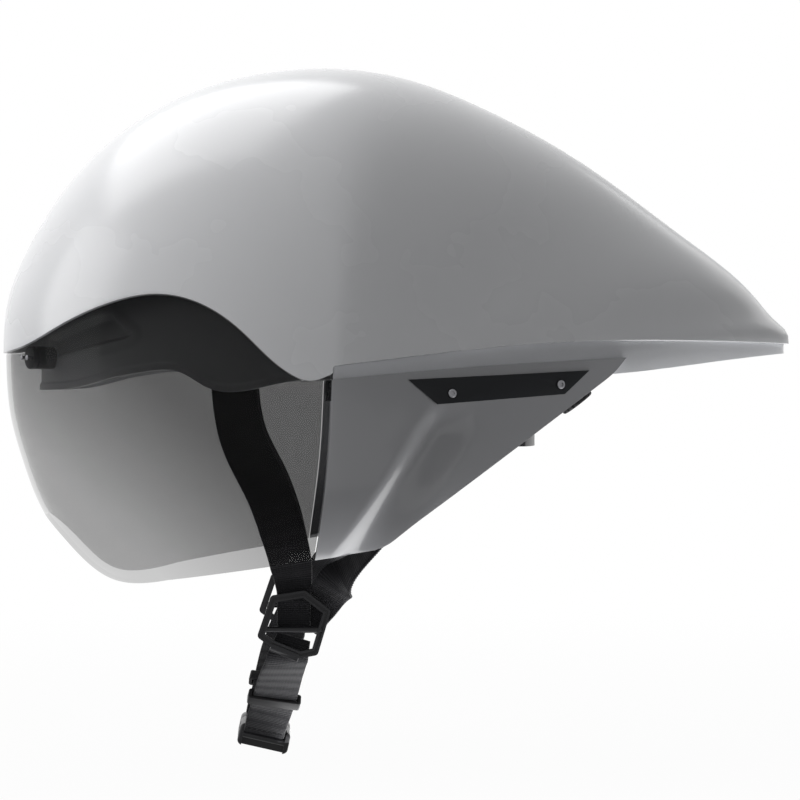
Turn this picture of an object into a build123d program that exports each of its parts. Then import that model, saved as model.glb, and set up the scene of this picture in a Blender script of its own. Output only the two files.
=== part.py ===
from build123d import *
import os
from math import atan2, cos, degrees, hypot, pi, radians, sin, sqrt

# An aero time trial helmet in millimetres.
# The origin is the centre of the head opening, at the rim, in the middle plane.
# +X points to the tail, -Y to the wearer's left and +Z to the crown.

# Outer shell: an egg with its widest line below the rim
DOME_X = 13.0
POLE_DROP = 45.0
NOSE_REACH = 146.5
TAIL_REACH = 210.5
CROWN_HEIGHT = 141.0
HALF_WIDTH = 101.0
SHELL_WALL = 2.0

# Tail belly panel
BELLY_WALL = 1.8
BELLY_TUCK = 3.0
BELLY_FRONT_DROP = 1.5
BELLY_TIP_HEIGHT = 13.7
TAIL_FLOOR_WALL = 2.0
TAIL_FLOOR_START = 134.0

# Foam liner and the head cavity in it
HEAD_X = 5.5
HEAD_HALF_LENGTH = 98.0
HEAD_HALF_WIDTH = 76.0
HEAD_TOP = 113.0
HEAD_WAIST = 10.0
LINER_SHELF = 5.3
LINER_HEM_DROP = 10.0
NECK_RELIEF_HEIGHT = 9.0
NECK_RELIEF_HALF_WIDTH = 60.0
LINER_HEM_GAP = 1.5
SKIN_GAP = 0.4

# Brow frame with its two air scoops
FRAME_NOSE_INSET = 17.0
FRAME_SIDE_INSET = 9.0
FRAME_WALL = 4.0
FRAME_BAND = 2.6
FRAME_BAND_STEP = 0.8
SCOOP_DEPTH = 2.2

# Visor lens
LENS_INSET = 1.2
LENS_WALL = 2.0
LENS_DEPTH = 106.0
LENS_GAP = 0.5
LENS_CORNER_DROP = 89.3
LENS_REAR_DROP = 77.0
LENS_REAR_X = 12.1
LENS_REAR_SWEEP = 7.1

# Magnets that hold the lens, and the lens rivets
MAGNET_X = -120.9
MAGNET_Y = 42.0
MAGNET_HEIGHT = 9.7
MAGNET_TURN = 31.0
MAGNET_RADIUS = 5.0
LENS_MAGNET_DEPTH = 2.4
POST_DEPTH = 14.0
RIVET_RADIUS = 0.75
RIVET_HEAD_RADIUS = 1.2
RIVET_HEAD_HEIGHT = 0.5
RIVET_SPACING = 5.0

# Side shields
SHIELD_STAND = 0.5
SHIELD_WALL = 2.6
SHIELD_EASE = 0.08
SHIELD_LENGTH = 129.6
SHIELD_RISE = 9.7
SHIELD_DROP = 76.6
FOLD_RADIUS = 9.0
FOLD_DEPTH = 3.2

# Mounting plates on the shields, their screws and the sockets in the foam
PLATE_WALL = 1.3
PLATE_STAND = 1.2
PLATE_LENGTH = 80.0
PLATE_DROP = 11.0
PLATE_FRONT = 45.0
PLATE_RISE = 3.4
SCREW_NORMAL_TURN = 20.0
SCREW_RADIUS = 1.0
SCREW_LENGTH = 11.0
SCREW_HEAD_RADIUS = 1.9
SCREW_HEAD_HEIGHT = 1.1
SCREW_CROSS = 0.6
SCREW_HOLE_PLAY = 0.25
SOCKET_RADIUS = 3.0
SOCKET_LENGTH = 8.0

# Comfort pads
PAD_DEPTH = 6.0
BROW_PAD_LOW = 3.0
BROW_PAD_HEIGHT = 22.0
BROW_PAD_REACH = 60.0
CROWN_PAD_WIDTH = 26.0
CROWN_PAD_HALF_LENGTH = 62.0
SIDE_PAD_LENGTH = 64.0
SIDE_PAD_LOW = 30.0
SIDE_PAD_HEIGHT = 24.0

# Webbing, dividers and keepers
WEBBING_WIDTH = 19.5
WEBBING_WALL = 1.5
STRAP_LEAD = 28.0
STRAP_TRAIL = 62.0
CHIN_DROP = 157.5
DIVIDER_X = -3.2
DIVIDER_Y = 70.0
DIVIDER_DROP = 107.5
DIVIDER_LENGTH = 29.3
DIVIDER_WIDTH = 31.8
DIVIDER_RIM = 3.0
DIVIDER_WALL = 3.0
DIVIDER_GROOVE = 0.8
DIVIDER_BAR_RADIUS = 1.4
DIVIDER_TAB_WIDTH = 13.0
DIVIDER_TAB_HEIGHT = 3.4
DIVIDER_TAB_WALL = 2.8
ANCHOR_HEIGHT = 4.0
ANCHOR_WALL = 3.4
ANCHOR_MARGIN = 2.0
ANCHOR_POCKET = 16.0
ANCHOR_PLAY = 1.4
KEEPER_HEIGHT = 5.0
KEEPER_WALL = 1.4

# Chin buckle, along Y with its width tilted down to the rear
BUCKLE_X = -16.3
BUCKLE_DROP = 160.2
BUCKLE_TILT = 13.0
BUCKLE_WIDTH = 23.0
BUCKLE_THICKNESS = 10.0
BUCKLE_FEMALE_LENGTH = 28.0
BUCKLE_FEMALE_END = 5.0
BUCKLE_MALE_LENGTH = 17.6
BUCKLE_LOBE = 2.1
BUCKLE_BAR_RADIUS = 1.6
BUCKLE_SLOT = 6.5
BUCKLE_WALL = 1.7
BUCKLE_SIDE_WALL = 2.2
PRONG_LENGTH = 17.0
PRONG_WIDTH = 3.4
PRONG_BULGE = 1.9
GUIDE_WIDTH = 5.0
WINDOW_LENGTH = 9.0
BUCKLE_ROUND = 2.4

# Fit system: a yoke on a sloping track, its dial, two belts and their side bands
YOKE_X = 127.0
YOKE_DROP = 4.5
YOKE_SLOPE = 37.7
YOKE_WIDTH = 26.0
YOKE_WALL = 3.5
YOKE_UP = 34.0
YOKE_DOWN = 28.0
CRADLE_HALF_SPAN = 32.0
CRADLE_HEIGHT = 16.0
CRADLE_CURVE = 78.0
TRACK_START = 19.0
TRACK_LENGTH = 28.0
TRACK_WALL = 2.2
TRACK_PLAY = 0.3
HOUSING_LENGTH = 22.0
HOUSING_DEPTH = 5.6
DIAL_SHIFT = 4.0
DIAL_RADIUS = 8.0
DIAL_HEIGHT = 3.0
DIAL_RIBS = 16
DIAL_RIB_RADIUS = 0.55
PINION_RADIUS = 4.0
HUB_RADIUS = 3.0
RUN_PLAY = 0.08
RACK_HEIGHT = 4.4
RACK_WALL = 2.0
BELT_HEIGHT = 8.0
BELT_WALL = 1.6
BELT_DROP = 16.5
BAND_ANCHOR_X = 20.0
BAND_PIN_RADIUS = 1.6
CRADLE_PAD_DEPTH = 5.0

# Clearances and one overrun for all cuts
SEAT_GAP = 0.3
SNUG_GAP = 0.2
OVERRUN = 20.0

# Shapes, as shares of the sizes above
STATION_TURNS_SHARE = (0.0, 6.0, 13.0, 25.0, 38.0, 50.0, 62.0, 72.0, 80.0, 84.3)
NOSE_SHARES = ((0, 1), (0.2306, 0.978), (0.4979, 0.883), (0.7603, 0.674), (0.921, 0.4255),
               (0.9842, 0.26), (1.0, 0.10))
LENS_LOW_SHARES = ((0.998, 0), (0.984, 0.17), (0.95, 0.34), (0.9015, 0.52), (0.666, 0.877),
                   (0.35, 0.98), (0, 1.0))
TAIL_SHARES = ((0, 1), (0.1419, 0.978), (0.2994, 0.897), (0.5609, 0.688), (0.7698, 0.461),
               (0.9263, 0.266), (0.9717, 0.19), (0.997, 0.15), (1.0, 0.11))
TAIL_LOW_SHARES = ((1.0, 0), (1.0, 0.42), (0.9, 0.62), (0.62, 0.86), (0.3, 0.97), (0, 1.0))
TAIL_ROUND_SHARE = 0.10
TAIL_SHOULDER_SHARE = 0.12
LIP_SHARES = ((1.02, 0.082), (0.925, 0.103), (0.799, 0.168), (0.676, 0.225), (0.498, 0.259),
              (0.392, 0.234), (0.269, 0.152), (0.123, 0.018), (0.068, -0.003), (0.003, 0.017))
SEAM_SHARES = ((0, 0.041), (0.135, 0.066), (0.402, 0.110), (0.679, 0.125), (1.06, 0.115))
FRAME_LOW_SHARES = ((1.0, -0.033), (0.842, -0.031), (0.752, -0.023), (0.645, 0.006),
                    (0.546, 0.024), (0.444, 0.023), (0.357, -0.026), (0.237, -0.030),
                    (0.13, -0.007), (-0.05, -0.002))
SCOOP_SHARES = ((0.846, 0.069), (0.843, 0.129), (0.691, 0.189), (0.646, 0.197),
                (0.588, 0.139), (0.601, 0.128), (0.717, 0.101))
BELLY_SHARES = ((0, 0), (0.30, 0.08), (0.63, 0.32), (0.82, 0.64), (1.0, 1.0))
LENS_LOW_EDGE_SHARES = ((0.87, 0.678), (0.799, 0.797), (0.741, 0.896), (0.66, 0.985),
                        (0.60, 1.0), (0.48, 0.972))
SHIELD_FRONT_SHARE = 0.055
SHIELD_TOP_SHARES = ((0.45, 0.55), (1.0, 1.0))
SHIELD_LOW_SHARES = ((0.955, -0.035), (0.27, 0.80), (0.17, 0.938))
REAR_EDGE_SHARES = (0.25, 0.45)
PLATE_SHARES = ((0, 0), (0.155, 1.0), (0.86, 0.83), (1.0, -0.06))
SCREW_SHARES = ((0.235, 0.66), (0.83, 0.44))
FOLD_SHARES = ((0.405, 0.10), (0.25, 0.52), (0.085, 0.955))
FOLD_STAND_SHARES = (0.885, 0.93, 0.905)
FOLD_TOP_SHARE = 0.12
FOLD_LOW_SHARE = 0.35
DIVIDER_SHARES = ((0.19, 0), (0.65, -0.08), (1.0, 0.22), (0.82, 0.87), (0.57, 0.92),
                  (0.18, 0.745), (0, 0.6))
CRADLE_PAD_SHARES = (0.58, 0.84, 0.9)
GROOVE_SHARES = (0.32, 0.68)
RIM_ROUND_SHARE = 0.6
BAR_RIM_SHARE = 2.6
KEEPER_ROUND_SHARE = 0.8
END_ROUND_SHARE = 0.6
ARM_ROUND_SHARE = 0.2
HOUSING_ROUND_SHARE = 0.125
DIAL_ROUND_SHARE = 0.3
RISE_POWER = 2.4
NOSE_POWER = 2.2
TAIL_POWERS = (1.12, 0.6)
# Strap stations: share of the reach in X, of the half width in Y, of the chin drop in Z,
# the width's lean and twist in degrees, and the share of the webbing's width
FRONT_STRAP_SHARES = ((0.93, 0.752, 0.030, 6, 0, 1.0), (0.90, 0.758, -0.045, 10, 0, 1.0),
                      (0.76, 0.765, -0.17, 18, 0, 1.0), (0.42, 0.765, -0.295, 21, 0, 1.0),
                      (0.18, 0.735, -0.41, 18, 0, 1.0), (0.04, 0.692, -0.51, 12, 0, 0.93),
                      (0.0, 0.667, -0.58, 9, 0, 0.76), (0.0, 0.665, -0.63, 9, 0, 0.74),
                      (0.0, 0.665, -0.685, 9, 0, 0.74))
REAR_STRAP_SHARES = ((0.76, 0.775, 0.03, 8, 0, 1.0), (0.78, 0.785, -0.07, 14, 4, 1.0),
                     (0.74, 0.785, -0.25, 26, 22, 1.0), (0.56, 0.77, -0.43, 38, 38, 1.0),
                     (0.33, 0.72, -0.54, 38, 34, 0.96), (0.17, 0.640, -0.625, 34, 16, 0.80),
                     (0.08, 0.636, -0.68, 30, 4, 0.72))
CHIN_STRAP_SHARES = ((0.0, 0.665, -0.703, 9, 0, 0.76), (-0.05, 0.663, -0.733, 9, 0, 0.84),
                     (-0.10, 0.652, -0.763, 9, 0, 0.94), (-0.17, 0.59, -0.80, 6, 0, 1.0),
                     (-0.26, 0.45, -0.862, 0, 0, 1.0), (-0.305, 0.392, -0.894, -4, 0, 0.98),
                     (-0.35, 0.335, -0.925, -8, 0, 0.97), (-0.43, 0.268, -0.973, -13, 0, 0.95),
                     (-0.468, 0.232, -1.003, -13, 0, 0.93))
CHIN_SPLIT = 6
KEEPER_STATION = 5
BELT_SHARES = ((0, 0.205, 0), (0.10, 0.26, 0.16), (0.34, 0.43, 0.6), (0.62, 0.60, 1.0),
               (1.0, 0.70, 1.0))
BAND_SHARES = ((0, 0.70, 1.0), (0.35, 0.728, 1.0), (0.7, 0.746, 1.0), (1.0, 0.757, 1.0))
BELT_END_SHARE = 0.46


# Side-view curves and prisms


def front_points(shares, lift=0.0):
    """Side-view points in shares of the nose reach and the crown height."""
    return [(DOME_X - a * NOSE_REACH, b * CROWN_HEIGHT + lift) for a, b in shares]


def rear_points(shares, lift=0.0):
    """Side-view points in shares of the tail reach and the crown height."""
    return [(DOME_X + a * TAIL_REACH, b * CROWN_HEIGHT + lift) for a, b in shares]


def side_curve(points, y):
    """A line through two side-view points, or a smooth curve through more."""
    placed = [Vector(x, y, z) for x, z in points]
    if len(placed) == 2:
        return Edge.make_line(placed[0], placed[1])
    return Edge.make_spline(placed)


def side_prism(runs, low=None, high=None):
    """The solid over a closed side-view outline, from one Y to another."""
    low = -HALF_WIDTH - OVERRUN if low is None else low
    high = HALF_WIDTH + OVERRUN if high is None else high
    edges = [side_curve(run, low) for run in runs]
    for run, after in zip(runs, runs[1:] + runs[:1]):
        if run[-1] != after[0]:
            edges.append(side_curve([run[-1], after[0]], low))
    return Solid.extrude(Face(Wire(edges)), Vector(0, high - low, 0))


def lip_run(lift=0.0):
    """The shell's lower lip over the visor, from the nose back to the shield."""
    return front_points(LIP_SHARES, lift)


def seam_run(lift=0.0):
    """The shell's lower edge over the belly panel, from the shield back to the tail."""
    return rear_points(SEAM_SHARES, lift)


def frame_low_run(lift=0.0):
    """The brow frame's lower edge, from the nose back."""
    return front_points(FRAME_LOW_SHARES, lift)


def belly_low_run(lift=0.0):
    """The belly panel's lower edge, from the shield back to the tail's tip."""
    rise = BELLY_TIP_HEIGHT + BELLY_FRONT_DROP
    return [(DOME_X + a * (TAIL_REACH + OVERRUN * (a == 1.0)), b * rise - BELLY_FRONT_DROP + lift)
            for a, b in BELLY_SHARES]


def above(run):
    """Everything above a side-view run."""
    top = CROWN_HEIGHT + OVERRUN
    return side_prism([run, [run[-1], (run[-1][0], top)], [(run[-1][0], top), (run[0][0], top)]])


# The egg that every skin follows


def rise_share(t):
    """How much of the middle section's height is left at a share of the half width."""
    return sqrt(1 - t ** RISE_POWER)


def nose_share(t):
    """How much of the nose reach is left at a share of the half width."""
    return sqrt(1 - t ** NOSE_POWER)


def tail_share(t):
    """How much of the tail reach is left at a share of the half width.

    The tip is rounded, and the shoulder flows on from the widest place without a crease.
    """
    rounded = hypot(t, TAIL_ROUND_SHARE) - TAIL_ROUND_SHARE
    full = hypot(1, TAIL_ROUND_SHARE) - TAIL_ROUND_SHARE
    left = 1 - (rounded / full) ** TAIL_POWERS[0]
    return sqrt((left ** (1 / TAIL_POWERS[1]) + TAIL_SHOULDER_SHARE * left) / (1 + TAIL_SHOULDER_SHARE))


def chain_parameters(points):
    """Spline parameters from chord lengths, the same for every section of one skin."""
    lengths = [0.0]
    for (x, z), (u, w) in zip(points, points[1:]):
        lengths.append(lengths[-1] + hypot(u - x, w - z))
    return [length / lengths[-1] for length in lengths]


def egg(chains, half_width):
    """A solid lofted across the width through sections of the same middle outline."""
    turns = [-a for a in reversed(STATION_TURNS_SHARE[1:])] + list(STATION_TURNS_SHARE)
    wires = []
    for turn in turns:
        t = sin(radians(abs(turn)))
        y = half_width * sin(radians(turn))
        edges = []
        for points, taper, tangents in chains:
            placed = [Vector(DOME_X + (x - DOME_X) * taper(t), y,
                             (z + POLE_DROP) * rise_share(t) - POLE_DROP) for x, z in points]
            edges.append(Edge.make_spline(placed, tangents, parameters=chain_parameters(points)))
        first = edges[0].position_at(0)
        last = edges[-1].position_at(1)
        if len(edges) == 2:
            edges.insert(1, Edge.make_line(edges[0].position_at(1), edges[1].position_at(0)))
        else:
            edges.append(Edge.make_line(last, first))
        wires.append(Wire(edges))
    return Solid.make_loft(wires)


def nose_chain(nose, crown):
    """The middle outline from the crown over the nose down to the widest line."""
    reach = NOSE_REACH - nose
    height = CROWN_HEIGHT - crown
    points = [(DOME_X - a * reach, b * height) for a, b in NOSE_SHARES]
    return points + [(DOME_X - reach, 0), (DOME_X - reach, -POLE_DROP)]


def tail_chain(tail, crown):
    """The middle outline from the crown over the tail down to the widest line."""
    reach = TAIL_REACH - tail
    height = CROWN_HEIGHT - crown
    points = [(DOME_X + a * reach, b * height) for a, b in TAIL_SHARES]
    return points + [(DOME_X + reach, 0), (DOME_X + reach, -POLE_DROP)]


def dome(side, nose=None, tail=None):
    """The shell's egg above the widest line, drawn in by the given insets."""
    nose = side if nose is None else nose
    tail = side if tail is None else tail
    front = (nose_chain(nose, side), nose_share, [(-1, 0, 0), (0, 0, -1)])
    back = (tail_chain(tail, side)[::-1], tail_share, [(0, 0, 1), (-1, 0, 0)])
    return egg([front, back], HALF_WIDTH - side)


def lens_egg(inset):
    """The visor's egg: the nose half, carried on below the widest line."""
    reach = NOSE_REACH - inset
    points = [(DOME_X - a * reach, b * (CROWN_HEIGHT - inset)) for a, b in NOSE_SHARES]
    points += [(DOME_X - a * reach, -b * (LENS_DEPTH - inset)) for a, b in LENS_LOW_SHARES]
    return egg([(points, nose_share, [(-1, 0, 0), (1, 0, 0)])], HALF_WIDTH - inset)


def shield_egg(inset):
    """The shields' egg: the tail half, carried on below the widest line."""
    reach = TAIL_REACH - inset
    points = [(DOME_X + a * reach, b * (CROWN_HEIGHT - inset)) for a, b in TAIL_SHARES]
    points += [(DOME_X + a * reach, -b * (LENS_DEPTH - inset)) for a, b in TAIL_LOW_SHARES]
    return egg([(points, tail_share, None)], HALF_WIDTH - inset)


def head(gap=0.0):
    """The head cavity, drawn in by a gap: half an ellipsoid over an elliptical well."""
    half_length = HEAD_HALF_LENGTH - gap
    half_width = HEAD_HALF_WIDTH - gap
    rise = HEAD_TOP - HEAD_WAIST - gap
    ball = scale(Sphere(1), by=(half_length, half_width, rise))
    well = extrude(Ellipse(half_length, half_width), -POLE_DROP - HEAD_WAIST)
    ball = ball & Pos(0, 0, rise) * Box(4 * half_length, 4 * half_width, 2 * rise)
    return Pos(HEAD_X, 0, HEAD_WAIST) * (ball + well)


# Shell, belly, liner and frame


def make_shell(outside, inside):
    """The outer shell with its arched lip and the step where the shield meets it."""
    lip = lip_run()
    seam = seam_run()
    top = CROWN_HEIGHT + OVERRUN
    front = (lip[0][0], top)
    back = (seam[-1][0], top)
    keep = side_prism([lip, [lip[-1], seam[0]], seam, [seam[-1], back], [back, front]])
    return (outside - inside) & keep


def make_belly(outside, inside):
    """The lower tail panel: a band under the seam and the tail's floor."""
    low = belly_low_run()
    high = seam_run(BELLY_TUCK)
    region = side_prism([low, [low[-1], high[-1]], high[::-1], [high[0], low[0]]])
    floor_top = belly_low_run(TAIL_FLOOR_WALL)
    floor_zone = side_prism([low, [low[-1], floor_top[-1]], floor_top[::-1],
                             [floor_top[0], low[0]]])
    band = (outside - inside) & region
    floor = outside & floor_zone & behind(TAIL_FLOOR_START)
    return band + floor - yoke_slot(TRACK_PLAY + SNUG_GAP)


def behind(start):
    """Everything behind a given X."""
    return Pos(start + TAIL_REACH, 0, 0) * Box(
        2 * TAIL_REACH, 4 * HALF_WIDTH, 4 * CROWN_HEIGHT)


def liner_zones():
    """Side-view regions of the liner: in the shell, behind the visor and over the belly."""
    shelf = lip_run(LINER_SHELF)
    rear_shelf = seam_run(BELLY_TUCK + SEAT_GAP)
    top = CROWN_HEIGHT + OVERRUN
    upper = side_prism([shelf, [shelf[-1], rear_shelf[0]], rear_shelf,
                        [rear_shelf[-1], (rear_shelf[-1][0], top)],
                        [(rear_shelf[-1][0], top), (shelf[0][0], top)]])
    front = above(frame_low_run(LINER_HEM_GAP))
    start = DOME_X + SEAT_GAP
    edge = HEAD_X + HEAD_HALF_LENGTH
    hem_end = (TAIL_FLOOR_START, BELLY_TIP_HEIGHT / 3)
    sides = side_prism([[(start, -LINER_HEM_DROP), (edge, -LINER_HEM_DROP)],
                        [(edge, -LINER_HEM_DROP), hem_end], [hem_end, (hem_end[0], top)],
                        [(hem_end[0], top), (start, top)]])
    tail = above(belly_low_run(TAIL_FLOOR_WALL + SEAT_GAP)) & behind(TAIL_FLOOR_START)
    return upper, front, sides + tail


def neck_relief():
    """The space cut up into the foam for the neck, the yoke and the belts."""
    return Pos(TAIL_FLOOR_START - HEAD_HALF_LENGTH, 0, NECK_RELIEF_HEIGHT - POLE_DROP) * Box(
        2 * HEAD_HALF_LENGTH, 2 * NECK_RELIEF_HALF_WIDTH, 2 * POLE_DROP)


def make_liner(inside, behind_belly, behind_frame):
    """The foam liner: three depths of skin round one head cavity."""
    upper, front, rear = liner_zones()
    foam = (inside & upper) + (behind_belly & rear) + (behind_frame & front)
    foam = foam - head() - neck_relief()
    for side in (-1, 1):
        for place in strap_anchor_places(side):
            foam -= place * Box(WEBBING_WIDTH + 2 * ANCHOR_MARGIN + 2 * ANCHOR_PLAY,
                                ANCHOR_WALL + 2 * SNUG_GAP + ANCHOR_PLAY, 2 * ANCHOR_POCKET)
        for place in screw_places(side):
            foam -= place * Cylinder(SOCKET_RADIUS + SNUG_GAP, 2 * (socket_depth() + SOCKET_LENGTH))
    return foam - track_block(SNUG_GAP) - yoke_slot(TRACK_PLAY + SNUG_GAP)


def make_frame(outer, inner, band_outer, scoop_floor):
    """The brow frame: a moulded wall with a raised lower band and two trapezoid scoops."""
    low = frame_low_run()
    shelf = lip_run(LINER_SHELF - SEAT_GAP)
    high = [point for point in shelf if point[1] > 0]
    wall_zone = side_prism([low, [low[-1], (low[-1][0], high[-1][1])],
                            [(low[-1][0], high[-1][1]), high[-1]], high[::-1],
                            [high[0], low[0]]])
    band_high = frame_low_run(FRAME_BAND)
    band_zone = side_prism([low, [low[-1], band_high[-1]], band_high[::-1],
                            [band_high[0], low[0]]])
    wall = (outer - inner) & wall_zone
    band = (band_outer - inner) & band_zone
    scoop = side_prism([[a, b] for a, b in zip(front_points(SCOOP_SHARES),
                        front_points(SCOOP_SHARES)[1:] + front_points(SCOOP_SHARES)[:1])])
    frame = wall + band - ((band_outer - scoop_floor) & scoop)
    return frame - behind(DOME_X)


# Visor


def make_lens(outer, inner):
    """The wraparound lens, cut by the lip line, the shield edge and its arched lower edge."""
    top = lip_run(-LENS_GAP)[:-1]
    rear_low = (LENS_REAR_X - LENS_REAR_SWEEP, -LENS_REAR_DROP)
    rear_mid = (LENS_REAR_X - LENS_REAR_SWEEP * REAR_EDGE_SHARES[0],
                -LENS_REAR_DROP * REAR_EDGE_SHARES[1])
    rear_top = (LENS_REAR_X, SHIELD_FRONT_SHARE * SHIELD_RISE)
    low = [(DOME_X - a * NOSE_REACH, -b * LENS_CORNER_DROP) for a, b in LENS_LOW_EDGE_SHARES]
    front_low = (DOME_X - NOSE_REACH - OVERRUN, low[0][1])
    zone = side_prism([top, [top[-1], rear_top], [rear_top, rear_mid, rear_low],
                       [rear_low, low[-1]], low[::-1], [low[0], front_low],
                       [front_low, (front_low[0], top[0][1])]])
    lens = (outer - inner) & zone
    for side in (-1, 1):
        for place in rivet_places(side):
            lens -= place * Cylinder(RIVET_RADIUS + SNUG_GAP / 2, 2 * OVERRUN)
    return lens


def magnet_plane(side):
    """A plane on the lens beside the brow magnet, with its normal pointing outwards."""
    turn = radians(MAGNET_TURN)
    outward = Vector(-cos(turn), side * sin(turn), 0)
    along = Vector(sin(turn), side * cos(turn), 0)
    return Plane(Vector(MAGNET_X, side * MAGNET_Y, MAGNET_HEIGHT), x_dir=along, z_dir=outward)


def rivet_places(side):
    """Where the two rivets of one lens magnet sit."""
    plane = magnet_plane(side)
    return [plane.location * Pos(shift * RIVET_SPACING / 2, 0, 0) for shift in (-1, 1)]


def make_lens_magnets():
    """The two discs behind the lens that meet the brow magnets."""
    discs = []
    for side in (-1, 1):
        depth = LENS_WALL + SEAT_GAP + LENS_MAGNET_DEPTH / 2
        discs.append(magnet_plane(side).location * Pos(0, 0, -depth)
                     * Cylinder(MAGNET_RADIUS, LENS_MAGNET_DEPTH))
    return discs


def make_rivets():
    """Four rivets through the lens: a low head outside and a shank down to the disc."""
    rivets = []
    for side in (-1, 1):
        for place in rivet_places(side):
            shank = Cylinder(RIVET_RADIUS, LENS_WALL + 2 * SNUG_GAP,
                             align=(Align.CENTER, Align.CENTER, Align.MAX))
            head_part = Cylinder(RIVET_HEAD_RADIUS, RIVET_HEAD_HEIGHT,
                                 align=(Align.CENTER, Align.CENTER, Align.MIN))
            shank = Pos(0, 0, SNUG_GAP) * shank
            head_part = Pos(0, 0, SNUG_GAP) * head_part
            rivets.append(place * (shank + head_part))
    return rivets


def make_brow_magnets(frame_skin):
    """The two magnet posts that stand on the brow frame and stop short of the lens discs."""
    posts = []
    for side in (-1, 1):
        start = LENS_WALL + SEAT_GAP + LENS_MAGNET_DEPTH + SEAT_GAP
        length = POST_DEPTH - start
        post = magnet_plane(side).location * Pos(0, 0, -start - length / 2) * Cylinder(
            MAGNET_RADIUS, length)
        posts.append(post - frame_skin)
    return posts


# Side shields with their plates, screws and sockets


def shield_outline():
    """The shield's closed side-view outline."""
    front = LENS_REAR_X + LENS_GAP
    front_top = (front, 0)
    front_mid = (front - LENS_REAR_SWEEP * REAR_EDGE_SHARES[0], -LENS_REAR_DROP * REAR_EDGE_SHARES[1])
    front_low = (front - LENS_REAR_SWEEP, -SHIELD_DROP)
    top, tip = [(front + a * SHIELD_LENGTH, b * SHIELD_RISE) for a, b in SHIELD_TOP_SHARES]
    heel, corner, toe = [(front + a * SHIELD_LENGTH, -b * SHIELD_DROP)
                         for a, b in SHIELD_LOW_SHARES]
    return [[front_top, top, tip], [tip, heel], [heel, corner], [corner, toe],
            [toe, front_low], [front_low, front_mid, front_top]]


def fold_cutter(side, extra):
    """The round tool along an arc that presses the diagonal fold into a shield."""
    path = []
    for (a, b), stand in zip(FOLD_SHARES, FOLD_STAND_SHARES):
        x = LENS_REAR_X + LENS_GAP + a * SHIELD_LENGTH
        y = stand * HALF_WIDTH + FOLD_RADIUS - FOLD_DEPTH
        path.append(Vector(x, side * y, -b * SHIELD_DROP))
    low = path[2] + (path[2] - path[1]) * FOLD_LOW_SHARE
    high = path[0] + (path[0] - path[1]) * FOLD_TOP_SHARE
    arc = Edge.make_three_point_arc(high, path[1], low)
    start = Plane(arc.position_at(0), z_dir=arc.tangent_at(0))
    return sweep(Face(Wire([Edge.make_circle(FOLD_RADIUS + extra, start)])), path=arc)


def make_shield(skins, side):
    """One side shield with its pressed fold and the shallow seat of its plate."""
    outer, seat_floor, inner, outer_front, inner_front = skins
    zone = side_prism(shield_outline(), *((-HALF_WIDTH - OVERRUN, 0) if side < 0
                                          else (0, HALF_WIDTH + OVERRUN)))
    wall = (outer - fold_cutter(side, 0)) - (inner - fold_cutter(side, SHIELD_WALL))
    shield = (wall & zone) + (((outer_front - inner_front) & zone) - behind(DOME_X))
    shield -= plate_prism(side, SEAT_GAP) - seat_floor
    for place in screw_places(side):
        shield -= place * Cylinder(SCREW_RADIUS + SCREW_HOLE_PLAY, 2 * OVERRUN)
    return shield


def plate_point(share_x, share_z, grow=0.0):
    """A side-view point in shares of the plate's length and drop."""
    x = PLATE_FRONT + share_x * PLATE_LENGTH + grow * (2 * (share_x > 0.5) - 1)
    z = PLATE_RISE * share_x - share_z * PLATE_DROP - grow * (2 * (share_z > 0.5) - 1)
    return (x, z)


def plate_prism(side, grow=0.0):
    """The prism over the plate's outline, grown for its seat."""
    points = [plate_point(a, b, grow) for a, b in PLATE_SHARES]
    runs = [[a, b] for a, b in zip(points, points[1:] + points[:1])]
    if side < 0:
        return side_prism(runs, -HALF_WIDTH - OVERRUN, 0)
    return side_prism(runs, 0, HALF_WIDTH + OVERRUN)


def tail_outline_share(height):
    """The tail outline's share of the reach at a height of the middle section."""
    if height <= TAIL_SHARES[-1][1] * CROWN_HEIGHT:
        return 1.0
    for (a, b), (c, d) in zip(TAIL_SHARES, TAIL_SHARES[1:]):
        if d * CROWN_HEIGHT <= height <= b * CROWN_HEIGHT:
            return a + (c - a) * (b - height / CROWN_HEIGHT) / (b - d)
    return 0.0


def skin_y(x, z, stand):
    """The half width of the tail's skin at a side-view point, out by a stand."""
    low, high = 0.0, 0.99
    for _ in range(40):
        middle = (low + high) / 2
        height = (z + POLE_DROP) / rise_share(middle) - POLE_DROP
        reach = (TAIL_REACH + stand) * tail_share(middle) * tail_outline_share(height)
        if reach > x - DOME_X:
            low = middle
        else:
            high = middle
    return low * (HALF_WIDTH + stand)


def screw_places(side):
    """Where the shield's two screws enter, with Z pointing out of the shield."""
    turn = radians(SCREW_NORMAL_TURN)
    outward = Vector(sin(turn), side * cos(turn), 0)
    places = []
    for share_x, share_z in SCREW_SHARES:
        x, z = plate_point(share_x, share_z)
        y = side * skin_y(x, z, PLATE_STAND)
        places.append(Plane(Vector(x, y, z), z_dir=outward).location)
    return places


def socket_depth():
    """How far a socket's mouth lies behind the plate's outer face."""
    return PLATE_STAND + SHIELD_WALL + SKIN_GAP + BELLY_WALL + SKIN_GAP + SEAT_GAP


def make_plate(outer, inner, side):
    """One mounting plate, set into the shield's seat."""
    plate = (outer - inner) & plate_prism(side)
    for place in screw_places(side):
        plate -= place * Cylinder(SCREW_RADIUS + SCREW_HOLE_PLAY, 2 * OVERRUN)
    return plate


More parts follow.
